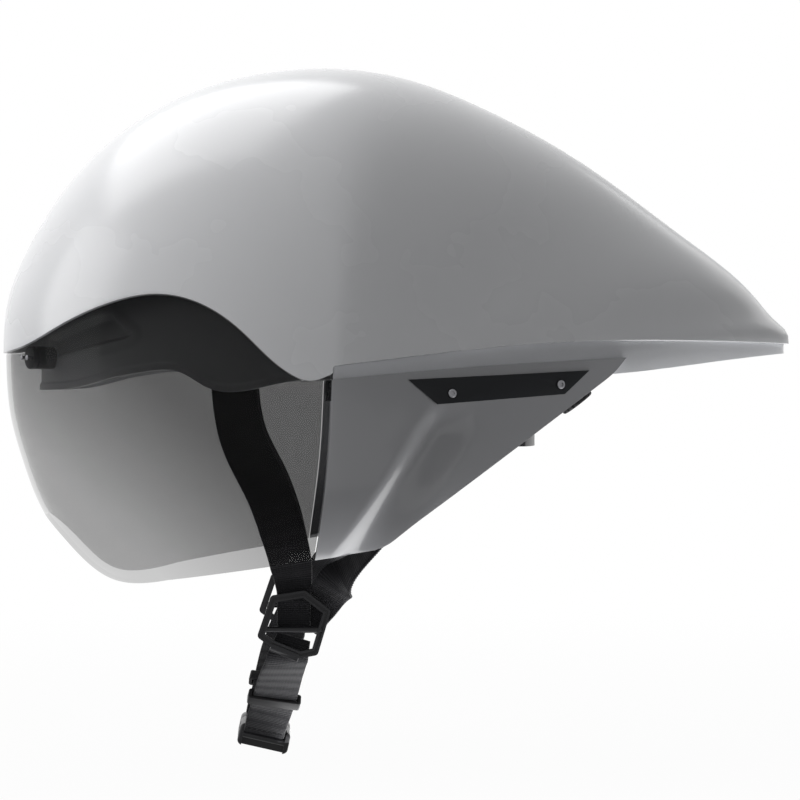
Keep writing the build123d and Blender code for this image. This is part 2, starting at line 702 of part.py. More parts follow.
def make_screws(side):
    """Two cross-head screws: a low domed head, a shank and a crossed recess."""
    screws = []
    for place in screw_places(side):
        head_part = Cylinder(SCREW_HEAD_RADIUS, SCREW_HEAD_HEIGHT,
                             align=(Align.CENTER, Align.CENTER, Align.MIN))
        shank = Cylinder(SCREW_RADIUS, SCREW_LENGTH,
                         align=(Align.CENTER, Align.CENTER, Align.MAX))
        cross = Box(2 * SCREW_HEAD_RADIUS - SCREW_CROSS, SCREW_CROSS, SCREW_HEAD_HEIGHT)
        cross += Box(SCREW_CROSS, 2 * SCREW_HEAD_RADIUS - SCREW_CROSS, SCREW_HEAD_HEIGHT)
        body = head_part + shank - Pos(0, 0, SCREW_HEAD_HEIGHT) * cross
        screws.append(place * Pos(0, 0, SEAT_GAP) * body)
    return screws


def make_sockets(side):
    """Two threaded sockets in the foam behind the shield."""
    sockets = []
    for place in screw_places(side):
        socket = Cylinder(SOCKET_RADIUS, SOCKET_LENGTH)
        socket -= Cylinder(SCREW_RADIUS + SNUG_GAP / 2, 2 * SOCKET_LENGTH)
        sockets.append(place * Pos(0, 0, -socket_depth() - SOCKET_LENGTH / 2) * socket)
    return sockets


# Comfort pads


def pad_wall():
    """The space that the pads fill: a layer against the head cavity's wall."""
    return head(SEAT_GAP) - head(SEAT_GAP + PAD_DEPTH)


def make_brow_pad(layer):
    """The forehead pad."""
    centre = HEAD_X - HEAD_HALF_LENGTH
    return layer & Pos(centre, 0, BROW_PAD_LOW + BROW_PAD_HEIGHT / 2) * Box(
        BROW_PAD_REACH, 4 * HEAD_HALF_WIDTH, BROW_PAD_HEIGHT)


def make_crown_pad(layer):
    """The long pad over the crown."""
    return layer & Pos(HEAD_X, 0, HEAD_TOP) * Box(
        2 * CROWN_PAD_HALF_LENGTH, CROWN_PAD_WIDTH, HEAD_TOP)


def make_side_pad(layer, side):
    """One pad beside the head, above the ear."""
    return layer & Pos(HEAD_X, side * HEAD_HALF_WIDTH, SIDE_PAD_LOW + SIDE_PAD_HEIGHT / 2) * Box(
        SIDE_PAD_LENGTH, HEAD_HALF_WIDTH, SIDE_PAD_HEIGHT)


# Webbing


def strip_directions(stations, i):
    """The directions along and across a strip at one of its stations."""
    before = stations[max(i - 1, 0)][0]
    after = stations[min(i + 1, len(stations) - 1)][0]
    along = (after - before).normalized()
    across = stations[i][1]
    return along, (across - along * across.dot(along)).normalized()


def strip(stations, wall, first=0, last=None):
    """A flat strip lofted through stations of a centre, a width direction and a width.

    A first and a last station cut a stretch out of a longer strip, so that two stretches
    meet face to face.
    """
    wires = []
    last = len(stations) - 1 if last is None else last
    for i, (centre, _, width) in enumerate(stations):
        along, wide = strip_directions(stations, i)
        thick = along.cross(wide)
        corners = [centre + wide * (a * width / 2) + thick * (b * wall / 2)
                   for a, b in ((-1, -1), (1, -1), (1, 1), (-1, 1))]
        wires.append(Wire.make_polygon(corners, close=True))
    return Solid.make_loft(wires[first:last + 1])


def strap_stations(shares, reach, side):
    """Stations of one strap from its shares."""
    stations = []
    for a, b, c, lean, twist, width in shares:
        centre = Vector(DIVIDER_X + a * reach, side * b * HALF_WIDTH, c * CHIN_DROP)
        across = Vector(cos(radians(lean)) * cos(radians(twist)),
                        side * sin(radians(twist)),
                        sin(radians(lean)) * cos(radians(twist)))
        stations.append((centre, across, width * WEBBING_WIDTH))
    return stations


def make_front_strap(side):
    """The strap from the temple to the divider."""
    return strip(strap_stations(FRONT_STRAP_SHARES, -STRAP_LEAD, side), WEBBING_WALL)


def make_rear_strap(side):
    """The strap from behind the ear to the divider."""
    return strip(strap_stations(REAR_STRAP_SHARES, STRAP_TRAIL, side), WEBBING_WALL)


def make_chin_strap(side):
    """The strap from the divider down to the keeper."""
    return strip(strap_stations(CHIN_STRAP_SHARES, STRAP_LEAD, side), WEBBING_WALL,
                 last=CHIN_SPLIT)


def make_chin_end(side):
    """The last stretch of the chin strap, up to the bar of its buckle half."""
    return strip(strap_stations(CHIN_STRAP_SHARES, STRAP_LEAD, side), WEBBING_WALL,
                 first=CHIN_SPLIT)


def strap_anchor_places(side):
    """Where the front and rear straps enter the foam's lower edge."""
    places = []
    for shares, reach in ((FRONT_STRAP_SHARES, -STRAP_LEAD), (REAR_STRAP_SHARES, STRAP_TRAIL)):
        centre, across, _ = strap_stations(shares, reach, side)[0]
        turn = degrees(atan2(across.Y, across.X))
        places.append(Location(centre, (0, 0, turn)))
    return places


def make_anchors(side):
    """Two small bars in the foam that the front and rear straps hang from."""
    bars = []
    for place in strap_anchor_places(side):
        bars.append(place * Pos(0, 0, SEAT_GAP + ANCHOR_HEIGHT / 2 + WEBBING_WALL) * Box(
            WEBBING_WIDTH + 2 * ANCHOR_MARGIN - 2 * SNUG_GAP, ANCHOR_WALL, ANCHOR_HEIGHT))
    return bars


def make_divider(side):
    """The divider: a rounded six-sided ring with a groove, a cross bar and a bare tab."""
    left = DIVIDER_X - DIVIDER_WIDTH / 2
    top = -DIVIDER_DROP + DIVIDER_LENGTH / 2
    points = [(left + a * DIVIDER_WIDTH, top - b * DIVIDER_LENGTH) for a, b in DIVIDER_SHARES]
    ring_face = make_face(Polyline(*points, close=True))
    ring_face = fillet(ring_face.vertices(), DIVIDER_RIM * RIM_ROUND_SHARE)
    hole = offset(ring_face, -DIVIDER_RIM)
    groove = offset(ring_face, -DIVIDER_RIM * GROOVE_SHARES[0]) - offset(
        ring_face, -DIVIDER_RIM * GROOVE_SHARES[1])
    ring = extrude(ring_face - hole, DIVIDER_WALL / 2, both=True)
    ring -= Pos(0, 0, DIVIDER_WALL / 2) * extrude(groove, DIVIDER_GROOVE, both=True)
    bar = Pos(DIVIDER_X, -DIVIDER_DROP, 0) * Rot(0, 90, 0) * Cylinder(
        DIVIDER_BAR_RADIUS, DIVIDER_WIDTH - BAR_RIM_SHARE * DIVIDER_RIM)
    (right_x, right_z), (left_x, left_z) = points[4:6]
    lean = degrees(atan2(right_z - left_z, right_x - left_x))
    tab = Location(((right_x + left_x) / 2, (right_z + left_z) / 2, 0), (0, 0, lean)) * Box(
        DIVIDER_TAB_WIDTH, DIVIDER_TAB_HEIGHT, DIVIDER_TAB_WALL)
    body = ring + bar + fillet(tab.edges(), DIVIDER_GROOVE / 2)
    flat = Plane(Vector(0, side * DIVIDER_Y, 0), x_dir=(1, 0, 0), z_dir=(0, -1, 0))
    if side > 0:
        return (flat.location * body).mirror(Plane(Vector(0, DIVIDER_Y, 0), z_dir=(0, 1, 0)))
    return flat.location * body


def make_keeper(side):
    """The rubber loop that holds the strap's spare end against it."""
    stations = strap_stations(CHIN_STRAP_SHARES, STRAP_LEAD, side)
    along, wide = strip_directions(stations, KEEPER_STATION)
    place = Plane(stations[KEEPER_STATION][0], x_dir=wide, z_dir=along).location
    play = 2 * SEAT_GAP + 2 * SNUG_GAP
    hole = Box(WEBBING_WIDTH + play, WEBBING_WALL + play, 2 * KEEPER_HEIGHT)
    loop = Box(WEBBING_WIDTH + play + 2 * KEEPER_WALL, WEBBING_WALL + play + 2 * KEEPER_WALL,
               KEEPER_HEIGHT)
    loop = fillet(loop.edges().filter_by(Axis.Z), KEEPER_WALL * KEEPER_ROUND_SHARE)
    return place * (loop - hole)


# Buckle, made along Y with its width along X, then tilted into place


def buckle_place():
    """Where the buckle hangs."""
    return Location((BUCKLE_X, 0, -BUCKLE_DROP), (0, BUCKLE_TILT, 0))


def buckle_block(length, end, direction):
    """A rounded block with two lobes and a strap bar at its outer end."""
    block = Box(BUCKLE_WIDTH, length, BUCKLE_THICKNESS)
    block = fillet(block.edges().filter_by(Axis.Y), BUCKLE_ROUND)
    block = fillet(block.faces().sort_by(Axis.Y)[0 if direction < 0 else -1].edges(),
                   BUCKLE_ROUND * END_ROUND_SHARE)
    middle = end + direction * length / 2
    outer = end + direction * length
    block = Pos(0, middle, 0) * block
    slot = Box(BUCKLE_WIDTH - 2 * BUCKLE_LOBE, 2 * BUCKLE_SLOT, 2 * BUCKLE_THICKNESS)
    block -= Pos(0, outer, 0) * slot
    bar = Rot(0, 90, 0) * Cylinder(BUCKLE_BAR_RADIUS, BUCKLE_WIDTH - BUCKLE_LOBE)
    return block + Pos(0, outer - direction * BUCKLE_SLOT / 2, 0) * bar


def make_buckle_female():
    """The buckle's socket half, hollow, with a window at each side."""
    body = buckle_block(BUCKLE_FEMALE_LENGTH, BUCKLE_FEMALE_END, -1)
    depth = PRONG_LENGTH + BUCKLE_WALL
    cavity = Box(BUCKLE_WIDTH - 2 * BUCKLE_SIDE_WALL, 2 * depth, BUCKLE_THICKNESS - 2 * BUCKLE_WALL)
    body -= Pos(0, BUCKLE_FEMALE_END, 0) * cavity
    window = Box(2 * BUCKLE_WIDTH, WINDOW_LENGTH, BUCKLE_THICKNESS - 2 * BUCKLE_WALL)
    body -= Pos(0, BUCKLE_FEMALE_END - PRONG_LENGTH + WINDOW_LENGTH / 2 - SEAT_GAP, 0) * window
    return buckle_place() * body


def make_buckle_male():
    """The buckle's plug half with its middle guide."""
    start = BUCKLE_FEMALE_END + SEAT_GAP
    body = buckle_block(BUCKLE_MALE_LENGTH, start, 1)
    height = BUCKLE_THICKNESS - 2 * BUCKLE_WALL - 2 * SEAT_GAP
    body += Pos(0, start - PRONG_LENGTH / 2 + SEAT_GAP, 0) * Box(GUIDE_WIDTH, PRONG_LENGTH, height)
    return buckle_place() * body


def make_buckle_prongs():
    """The two springy prongs whose heads catch in the socket's windows."""
    height = BUCKLE_THICKNESS - 2 * BUCKLE_WALL - 2 * SEAT_GAP
    start = BUCKLE_FEMALE_END
    half = BUCKLE_WIDTH / 2 - BUCKLE_SIDE_WALL - SEAT_GAP
    prongs = []
    for side in (-1, 1):
        catch = start - PRONG_LENGTH + WINDOW_LENGTH - SEAT_GAP * 2
        points = [(half - PRONG_WIDTH, start), (half, start), (half, catch),
                  (half + PRONG_BULGE, catch - PRONG_BULGE), (half, start - PRONG_LENGTH),
                  (half - PRONG_WIDTH, start - PRONG_LENGTH + PRONG_BULGE)]
        face = make_face(Polyline(*[(side * x, y) for x, y in points], close=True))
        prongs.append(buckle_place() * extrude(face, height / 2, both=True))
    return prongs


# Fit system, made in the yoke's own frame: X up the track, Y to the wearer's left and
# Z away from the head


def yoke_frame():
    """The frame of the yoke's arm."""
    slope = radians(YOKE_SLOPE)
    return Plane(Vector(YOKE_X, 0, -YOKE_DROP), x_dir=(cos(slope), 0, sin(slope)),
                 z_dir=(sin(slope), 0, -cos(slope))).location


def yoke_slot(gap):
    """The space that the yoke's arm slides in, as a cutter."""
    return yoke_frame() * Pos(YOKE_UP / 2 + TRACK_LENGTH / 2, 0, 0) * Box(
        YOKE_UP + TRACK_LENGTH, YOKE_WIDTH + 2 * gap, YOKE_WALL + 2 * gap)


def track_block(grow=0.0):
    """The outside of the track's housing."""
    return yoke_frame() * Pos(TRACK_START + TRACK_LENGTH / 2, 0, 0) * Box(
        TRACK_LENGTH + 2 * grow, YOKE_WIDTH + 2 * TRACK_PLAY + 2 * TRACK_WALL + 2 * grow,
        YOKE_WALL + 2 * TRACK_PLAY + 2 * TRACK_WALL + 2 * grow)


def make_track(foam_zone):
    """The track in the tail that guides the yoke's arm."""
    channel = yoke_frame() * Pos(TRACK_START, 0, 0) * Box(
        2 * (TRACK_LENGTH - TRACK_WALL), YOKE_WIDTH + 2 * TRACK_PLAY, YOKE_WALL + 2 * TRACK_PLAY)
    floor = above(belly_low_run(TAIL_FLOOR_WALL + SEAT_GAP))
    return (track_block() - channel) & foam_zone & floor


def make_yoke():
    """The yoke: an arm on the track, a belt housing and a cradle bent round the head."""
    arm_length = YOKE_UP + YOKE_DOWN
    arm = Pos((YOKE_UP - YOKE_DOWN) / 2, 0, 0) * Box(arm_length, YOKE_WIDTH, YOKE_WALL)
    arm = fillet(arm.edges().filter_by(Axis.Z), YOKE_WIDTH * ARM_ROUND_SHARE)
    housing = Pos(-DIAL_SHIFT, 0, -YOKE_WALL / 2 - HOUSING_DEPTH / 2) * Box(
        HOUSING_LENGTH, YOKE_WIDTH, HOUSING_DEPTH)
    housing = fillet(housing.edges().filter_by(Axis.Z), YOKE_WIDTH * HOUSING_ROUND_SHARE)
    body = arm + housing
    channel_depth = RACK_WALL + 2 * SEAT_GAP
    channel = Pos(-DIAL_SHIFT, 0, rack_level()) * Box(
        2 * (PINION_RADIUS + RACK_HEIGHT + 2 * SEAT_GAP), 2 * YOKE_WIDTH, channel_depth)
    body -= channel
    bore = Cylinder(HUB_RADIUS + RUN_PLAY, 2 * YOKE_WALL)
    body -= Pos(-DIAL_SHIFT, 0, 0) * bore
    body = yoke_frame() * body
    return body + make_cradle_band()


def rack_level():
    """The height of the belts' racks in the yoke's frame."""
    return -YOKE_WALL / 2 - SEAT_GAP - RACK_WALL / 2 - SEAT_GAP


def cradle_centre():
    """The lower end of the yoke's arm."""
    slope = radians(YOKE_SLOPE)
    return Vector(YOKE_X - YOKE_DOWN * cos(slope), 0, -YOKE_DROP - YOKE_DOWN * sin(slope))


def arc_band(radius, wall, height, half_span, centre):
    """An upright band bent round the back of the head."""
    ring = Cylinder(radius, height) - Cylinder(radius - wall, 2 * height)
    wedge_box = Pos(radius, 0, 0) * Box(radius, 2 * half_span, 2 * height)
    ring = ring & wedge_box
    return Pos(centre.X - radius, 0, centre.Z) * ring


def make_cradle_band():
    """The cradle that bears on the back of the head."""
    return arc_band(CRADLE_CURVE, YOKE_WALL, CRADLE_HEIGHT, CRADLE_HALF_SPAN,
                    cradle_centre() + Vector(YOKE_WALL / 2, 0, 0))


def make_cradle_pads():
    """The soft pads on the cradle's inner face."""
    radius = CRADLE_CURVE - YOKE_WALL - SEAT_GAP
    band = arc_band(radius, CRADLE_PAD_DEPTH, CRADLE_HEIGHT, CRADLE_HALF_SPAN,
                    cradle_centre() + Vector(YOKE_WALL / 2 - YOKE_WALL - SEAT_GAP, 0, 0))
    pads = []
    for side in (-1, 1):
        pads.append(band & Pos(cradle_centre().X, side * CRADLE_HALF_SPAN * CRADLE_PAD_SHARES[0],
                               cradle_centre().Z) * Box(
            2 * CRADLE_HALF_SPAN, CRADLE_HALF_SPAN * CRADLE_PAD_SHARES[1],
            CRADLE_HEIGHT * CRADLE_PAD_SHARES[2]))
    return pads


def make_dial():
    """The knob with a ribbed rim, its hub and the pinion between the racks."""
    knob = Cylinder(DIAL_RADIUS, DIAL_HEIGHT)
    knob = fillet(knob.edges().sort_by(Axis.Z)[-1], DIAL_HEIGHT * DIAL_ROUND_SHARE)
    for i in range(DIAL_RIBS):
        turn = 2 * pi * i / DIAL_RIBS
        knob -= Pos(DIAL_RADIUS * cos(turn), DIAL_RADIUS * sin(turn), 0) * Cylinder(
            DIAL_RIB_RADIUS, 2 * DIAL_HEIGHT)
    knob = Pos(0, 0, YOKE_WALL / 2 + SEAT_GAP + DIAL_HEIGHT / 2) * knob
    hub_low = rack_level() + RACK_WALL / 2
    hub_high = YOKE_WALL / 2 + SEAT_GAP
    hub = Pos(0, 0, (hub_low + hub_high) / 2) * Cylinder(HUB_RADIUS, hub_high - hub_low)
    pinion = Pos(0, 0, rack_level()) * Cylinder(PINION_RADIUS - SEAT_GAP, RACK_WALL)
    return yoke_frame() * Pos(-DIAL_SHIFT, 0, 0) * (knob + hub + pinion)


def belt_start(side):
    """The centre of a belt where it leaves its rack, in the part's frame."""
    level = PINION_RADIUS + RACK_HEIGHT / 2
    local = yoke_frame() * Pos(-DIAL_SHIFT - side * level, 0, rack_level())
    return local.position


def belt_stations(shares, start, end, side):
    """Stations of a belt between two X places, sinking to the belts' level."""
    stations = []
    for a, b, c in shares:
        centre = Vector(start.X + a * (end - start.X), side * b * HALF_WIDTH,
                        start.Z + c * (-BELT_DROP - start.Z))
        stations.append((centre, Vector(0, 0, 1), BELT_HEIGHT))
    return stations


def make_belt(side):
    """One belt: its straight rack in the housing and the strip round the head."""
    start = belt_start(side)
    level = PINION_RADIUS + RACK_HEIGHT / 2
    reach = BELT_SHARES[0][1] * HALF_WIDTH + BELT_HEIGHT / 2
    rack = yoke_frame() * Pos(-DIAL_SHIFT - side * level, -side * reach / 2, rack_level()) * Box(
        RACK_HEIGHT, reach + BELT_HEIGHT, RACK_WALL)
    tail = strip(belt_stations(BELT_SHARES, start, YOKE_X * BELT_END_SHARE, side), BELT_WALL)
    return rack + tail


def make_side_band(side):
    """The springy band that carries a belt's load on to the temple."""
    start = Vector(YOKE_X * BELT_END_SHARE - SEAT_GAP, 0, belt_start(side).Z)
    return strip(belt_stations(BAND_SHARES, start, BAND_ANCHOR_X, side), BELT_WALL)


def make_band_pin(side):
    """The post under the foam that the end of the side band hooks on to."""
    x = BAND_ANCHOR_X - BAND_PIN_RADIUS - SEAT_GAP
    y = side * BAND_SHARES[-1][1] * HALF_WIDTH
    top = -LINER_HEM_DROP - SEAT_GAP
    low = -BELT_DROP - BELT_HEIGHT / 2
    return Pos(x, y, (top + low) / 2) * Cylinder(BAND_PIN_RADIUS, top - low)


# Every piece, by its name


def build_parts():
    """All pieces of the helmet."""
    outside = dome(0)
    shell_inside = dome(SHELL_WALL)
    belly_skin = dome(SHELL_WALL + SKIN_GAP)
    belly_inside = dome(SHELL_WALL + SKIN_GAP + BELLY_WALL)
    behind_belly = dome(SHELL_WALL + 2 * SKIN_GAP + BELLY_WALL)
    frame_outer = dome(FRAME_SIDE_INSET, FRAME_NOSE_INSET)
    frame_inner = dome(FRAME_SIDE_INSET + FRAME_WALL, FRAME_NOSE_INSET + FRAME_WALL)
    behind_frame = dome(FRAME_SIDE_INSET + FRAME_WALL + SEAT_GAP,
                        FRAME_NOSE_INSET + FRAME_WALL + SEAT_GAP)
    band_outer = dome(FRAME_SIDE_INSET - FRAME_BAND_STEP, FRAME_NOSE_INSET - FRAME_BAND_STEP)
    scoop_floor = dome(FRAME_SIDE_INSET + SCOOP_DEPTH, FRAME_NOSE_INSET + SCOOP_DEPTH)
    frame_skin = dome(FRAME_SIDE_INSET - SEAT_GAP, FRAME_NOSE_INSET - SEAT_GAP)
    shields = (shield_egg(-SHIELD_STAND), shield_egg(PLATE_WALL - PLATE_STAND + SEAT_GAP),
               shield_egg(SHIELD_WALL - SHIELD_STAND), lens_egg(SHIELD_EASE - SHIELD_STAND),
               lens_egg(SHIELD_WALL - SHIELD_EASE - SHIELD_STAND))
    plate_outer = shield_egg(-PLATE_STAND)
    plate_inner = shield_egg(PLATE_WALL - PLATE_STAND)
    layer = pad_wall()
    parts = {
        "outer_shell": make_shell(outside, shell_inside),
        "tail_belly_panel": make_belly(belly_skin, belly_inside),
        "foam_liner": make_liner(belly_skin, behind_belly, behind_frame),
        "brow_frame": make_frame(frame_outer, frame_inner, band_outer, scoop_floor),
        "brow_magnets": make_brow_magnets(frame_skin),
        "visor_lens": make_lens(lens_egg(LENS_INSET), lens_egg(LENS_INSET + LENS_WALL)),
        "visor_magnets": make_lens_magnets(),
        "visor_rivets": make_rivets(),
        "brow_pad": make_brow_pad(layer),
        "crown_pad": make_crown_pad(layer),
        "buckle_female": make_buckle_female(),
        "buckle_male": make_buckle_male(),
        "buckle_prongs": make_buckle_prongs(),
        "retention_track": make_track(behind_belly),
        "cradle_yoke": make_yoke(),
        "cradle_pads": make_cradle_pads(),
        "fit_dial": make_dial(),
    }
    for name, side in (("left", -1), ("right", 1)):
        parts[f"side_shield_{name}"] = make_shield(shields, side)
        parts[f"shield_plate_{name}"] = make_plate(plate_outer, plate_inner, side)
        parts[f"shield_screws_{name}"] = make_screws(side)
        parts[f"screw_sockets_{name}"] = make_sockets(side)
        parts[f"side_pad_{name}"] = make_side_pad(layer, side)
        parts[f"front_strap_{name}"] = make_front_strap(side)
        parts[f"rear_strap_{name}"] = make_rear_strap(side)
        parts[f"chin_strap_{name}"] = make_chin_strap(side)
        parts[f"chin_strap_end_{name}"] = make_chin_end(side)
        parts[f"strap_anchors_{name}"] = make_anchors(side)
        parts[f"strap_divider_{name}"] = make_divider(side)
        parts[f"strap_keeper_{name}"] = make_keeper(side)
        parts[f"fit_belt_{name}"] = make_belt(side)
        parts[f"side_band_{name}"] = make_side_band(side)
        parts[f"band_pin_{name}"] = make_band_pin(side)
    return parts


def main():
    """Write each piece to its own file."""
    os.makedirs("parts", exist_ok=True)
    for name, shape in build_parts().items():
        solids = shape if isinstance(shape, list) else shape.solids()
        export_step(Compound(children=[s for piece in solids for s in piece.solids()]),
                    f"parts/{name}.step")


main()
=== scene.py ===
"""The looks of an aero time trial helmet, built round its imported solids.

Sizes are in millimetres in this file and turn into metres when a mesh is made.
The frame is the one of the solids: +X to the tail, -Y to the wearer's left, +Z to the crown.
"""

import logging
from dataclasses import dataclass
from enum import Enum
from math import cos, hypot, pi, radians, sin
from typing import Callable, Optional, Sequence

import bmesh
import bpy
import numpy as np
from mathutils import Matrix, Vector


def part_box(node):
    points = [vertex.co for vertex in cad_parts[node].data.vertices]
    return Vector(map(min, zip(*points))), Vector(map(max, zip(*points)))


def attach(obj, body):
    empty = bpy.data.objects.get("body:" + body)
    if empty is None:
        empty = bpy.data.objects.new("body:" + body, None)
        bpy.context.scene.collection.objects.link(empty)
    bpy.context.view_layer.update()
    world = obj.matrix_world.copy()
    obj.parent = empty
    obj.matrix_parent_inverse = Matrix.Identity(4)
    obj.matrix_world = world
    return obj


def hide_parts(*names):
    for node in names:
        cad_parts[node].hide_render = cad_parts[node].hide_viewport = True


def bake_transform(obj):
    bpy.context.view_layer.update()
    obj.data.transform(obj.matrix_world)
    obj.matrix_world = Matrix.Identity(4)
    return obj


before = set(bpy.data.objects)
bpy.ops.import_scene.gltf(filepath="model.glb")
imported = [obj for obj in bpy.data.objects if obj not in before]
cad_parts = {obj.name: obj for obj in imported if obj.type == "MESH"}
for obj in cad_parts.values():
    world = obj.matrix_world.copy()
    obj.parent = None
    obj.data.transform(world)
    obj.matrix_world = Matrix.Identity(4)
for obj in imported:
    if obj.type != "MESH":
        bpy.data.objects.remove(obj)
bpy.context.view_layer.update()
LOG = logging.getLogger("helmet")
MM = 0.001
HALVINGS = 34

Run = Callable[[np.ndarray], np.ndarray]


class Side(Enum):
    """The wearer's two sides, by the sign of Y."""

    LEFT = -1
    RIGHT = 1

    @property
    def word(self) -> str:
        """The side's name as the solids' names end."""
        return self.name.lower()


# Finishes


@dataclass(frozen=True)
class Finish:
    """One surface finish: its colour, gloss and the fine texture that breaks it up."""

    name: str
    colour: tuple[float, float, float]
    rough: float = 0.4
    metal: float = 0.0
    coat: float = 0.0
    coat_rough: float = 0.05
    specular: float = 0.5
    grain: float = 900.0
    grain_depth: float = 0.0
    mottle: float = 0.03
    sheen: float = 0.0
    slow_scale: float = 18.0
    rough_spread: float = 0.15

    def build(self) -> bpy.types.Material:
        """Makes the material, once.

        Returns:
            The material with this finish.
        """
        name = f"{self.name}_finish"
        made = bpy.data.materials.get(name)
        if made is not None:
            return made
        material = bpy.data.materials.new(name)
        material.use_nodes = True
        tree = material.node_tree
        shader = tree.nodes["Principled BSDF"]
        self.set_shader(shader)
        place = tree.nodes.new("ShaderNodeTexCoord").outputs["Object"]
        self.texture(tree, shader, place)
        material.diffuse_color = (*self.colour, 1.0)
        return material

    def set_shader(self, shader: bpy.types.Node) -> None:
        """Sets the values that are the same all over.

        Args:
            shader: The Principled shader.
        """
        shader.inputs["Base Color"].default_value = (*self.colour, 1.0)
        shader.inputs["Roughness"].default_value = self.rough
        shader.inputs["Metallic"].default_value = self.metal
        shader.inputs["Coat Weight"].default_value = self.coat
        shader.inputs["Coat Roughness"].default_value = self.coat_rough
        shader.inputs["Specular IOR Level"].default_value = self.specular
        shader.inputs["Sheen Weight"].default_value = self.sheen

    def texture(self, tree: bpy.types.NodeTree, shader: bpy.types.Node,
                place: bpy.types.NodeSocket) -> None:
        """Adds a slow change of colour and gloss, and a fine grain.

        Args:
            tree: The material's nodes.
            shader: The Principled shader.
            place: The coordinates that the patterns follow.
        """
        slow = noise(tree, place, self.slow_scale, 3.0)
        mottled_colour(tree, shader, slow, self.colour, self.mottle)
        gloss = ranged(tree, slow, self.rough * (1 - self.rough_spread),
                       min(1.0, self.rough * (1 + self.rough_spread)))
        tree.links.new(gloss, shader.inputs["Roughness"])
        if self.grain_depth > 0:
            fine = noise(tree, place, self.grain, 2.0)
            bump(tree, shader, fine, self.grain_depth)


def noise(tree: bpy.types.NodeTree, place: bpy.types.NodeSocket, scale: float,
          detail: float) -> bpy.types.NodeSocket:
    """A noise pattern.

    Args:
        tree: The material's nodes.
        place: The coordinates it follows, in metres.
        scale: Its cells to the metre.
        detail: How many finer layers it has.

    Returns:
        The pattern's value.
    """
    node = tree.nodes.new("ShaderNodeTexNoise")
    node.inputs["Scale"].default_value = scale
    node.inputs["Detail"].default_value = detail
    tree.links.new(place, node.inputs["Vector"])
    return node.outputs["Fac"]


def ranged(tree: bpy.types.NodeTree, value: bpy.types.NodeSocket, low: float,
           high: float) -> bpy.types.NodeSocket:
    """A pattern's value brought between two numbers.

    Args:
        tree: The material's nodes.
        value: The pattern, about 0.3 to 0.7.
        low: The result for a low value.
        high: The result for a high value.

    Returns:
        The new value.
    """
    node = tree.nodes.new("ShaderNodeMapRange")
    node.inputs["From Min"].default_value = 0.3
    node.inputs["From Max"].default_value = 0.7
    node.inputs["To Min"].default_value = low
    node.inputs["To Max"].default_value = high
    tree.links.new(value, node.inputs["Value"])
    return node.outputs["Result"]


def mottled_colour(tree: bpy.types.NodeTree, shader: bpy.types.Node,
                   value: bpy.types.NodeSocket, colour: tuple[float, float, float],
                   amount: float) -> None:
    """Lets a pattern change the base colour a little.

    Args:
        tree: The material's nodes.
        shader: The Principled shader.
        value: The pattern.
        colour: The middle colour.
        amount: The share that it changes by.
    """
    mix = tree.nodes.new("ShaderNodeMix")
    mix.data_type = "RGBA"
    dark = [c * (1 - amount) for c in colour]
    light = [min(1.0, c * (1 + amount)) for c in colour]
    mix.inputs["A"].default_value = (*dark, 1.0)
    mix.inputs["B"].default_value = (*light, 1.0)
    tree.links.new(value, mix.inputs["Factor"])
    tree.links.new(mix.outputs["Result"], shader.inputs["Base Color"])


def bump(tree: bpy.types.NodeTree, shader: bpy.types.Node, height: bpy.types.NodeSocket,
         depth: float) -> bpy.types.Node:
    """Turns a pattern into relief.

    Args:
        tree: The material's nodes.
        shader: The shader that gets it.
        height: The pattern.
        depth: The relief in millimetres.

    Returns:
        The bump node.
    """
    node = tree.nodes.new("ShaderNodeBump")
    node.inputs["Distance"].default_value = depth * MM
    node.inputs["Strength"].default_value = 1.0
    tree.links.new(height, node.inputs["Height"])
    tree.links.new(node.outputs["Normal"], shader.inputs["Normal"])
    return node


@dataclass(frozen=True)
class SmokeLens(Finish):
    """Clear smoke plastic whose cover is painted thinner towards the lower front, a painted
    reflection that lightens it there.

    The cover is the share that each wall hides. It is given at the frame's middle, and
    changes with each metre of X and Z between its two limits; that change is the painted
    reflection.
    """

    ior: float = 1.52
    cover: float = 0.585
    cover_low: float = 0.24
    cover_high: float = 0.44
    cover_by_x: float = 2.2
    cover_by_z: float = 2.5

    def set_shader(self, shader: bpy.types.Node) -> None:
        """Sets the clear shader's values.

        Args:
            shader: The Principled shader.
        """
        super().set_shader(shader)
        shader.inputs["IOR"].default_value = self.ior

    def texture(self, tree: bpy.types.NodeTree, shader: bpy.types.Node,
                place: bpy.types.NodeSocket) -> None:
        """Adds the cover's fade, which is painted reflection, and a faint unevenness in the gloss.

        Args:
            tree: The material's nodes.
            shader: The Principled shader.
            place: The coordinates that the patterns follow.
        """
        split = tree.nodes.new("ShaderNodeSeparateXYZ")
        tree.links.new(place, split.inputs["Vector"])
        last = None
        # The cover falls towards the nose and the bottom, so more white shows through there:
        # painted reflection.
        for axis, slope in (("X", self.cover_by_x), ("Z", self.cover_by_z)):
            step = tree.nodes.new("ShaderNodeMath")
            step.operation = "MULTIPLY_ADD"
            step.inputs[1].default_value = slope
            step.inputs[2].default_value = self.cover
            tree.links.new(split.outputs[axis], step.inputs[0])
            if last is not None:
                tree.links.new(last, step.inputs[2])
            last = step.outputs["Value"]
        kept = tree.nodes.new("ShaderNodeClamp")
        kept.inputs["Min"].default_value = self.cover_low
        kept.inputs["Max"].default_value = self.cover_high
        tree.links.new(last, kept.inputs["Value"])
        tree.links.new(kept.outputs["Result"], shader.inputs["Alpha"])
        slow = noise(tree, place, 30.0, 2.0)
        gloss = ranged(tree, slow, self.rough * 0.8, self.rough * 1.3)
        tree.links.new(gloss, shader.inputs["Roughness"])


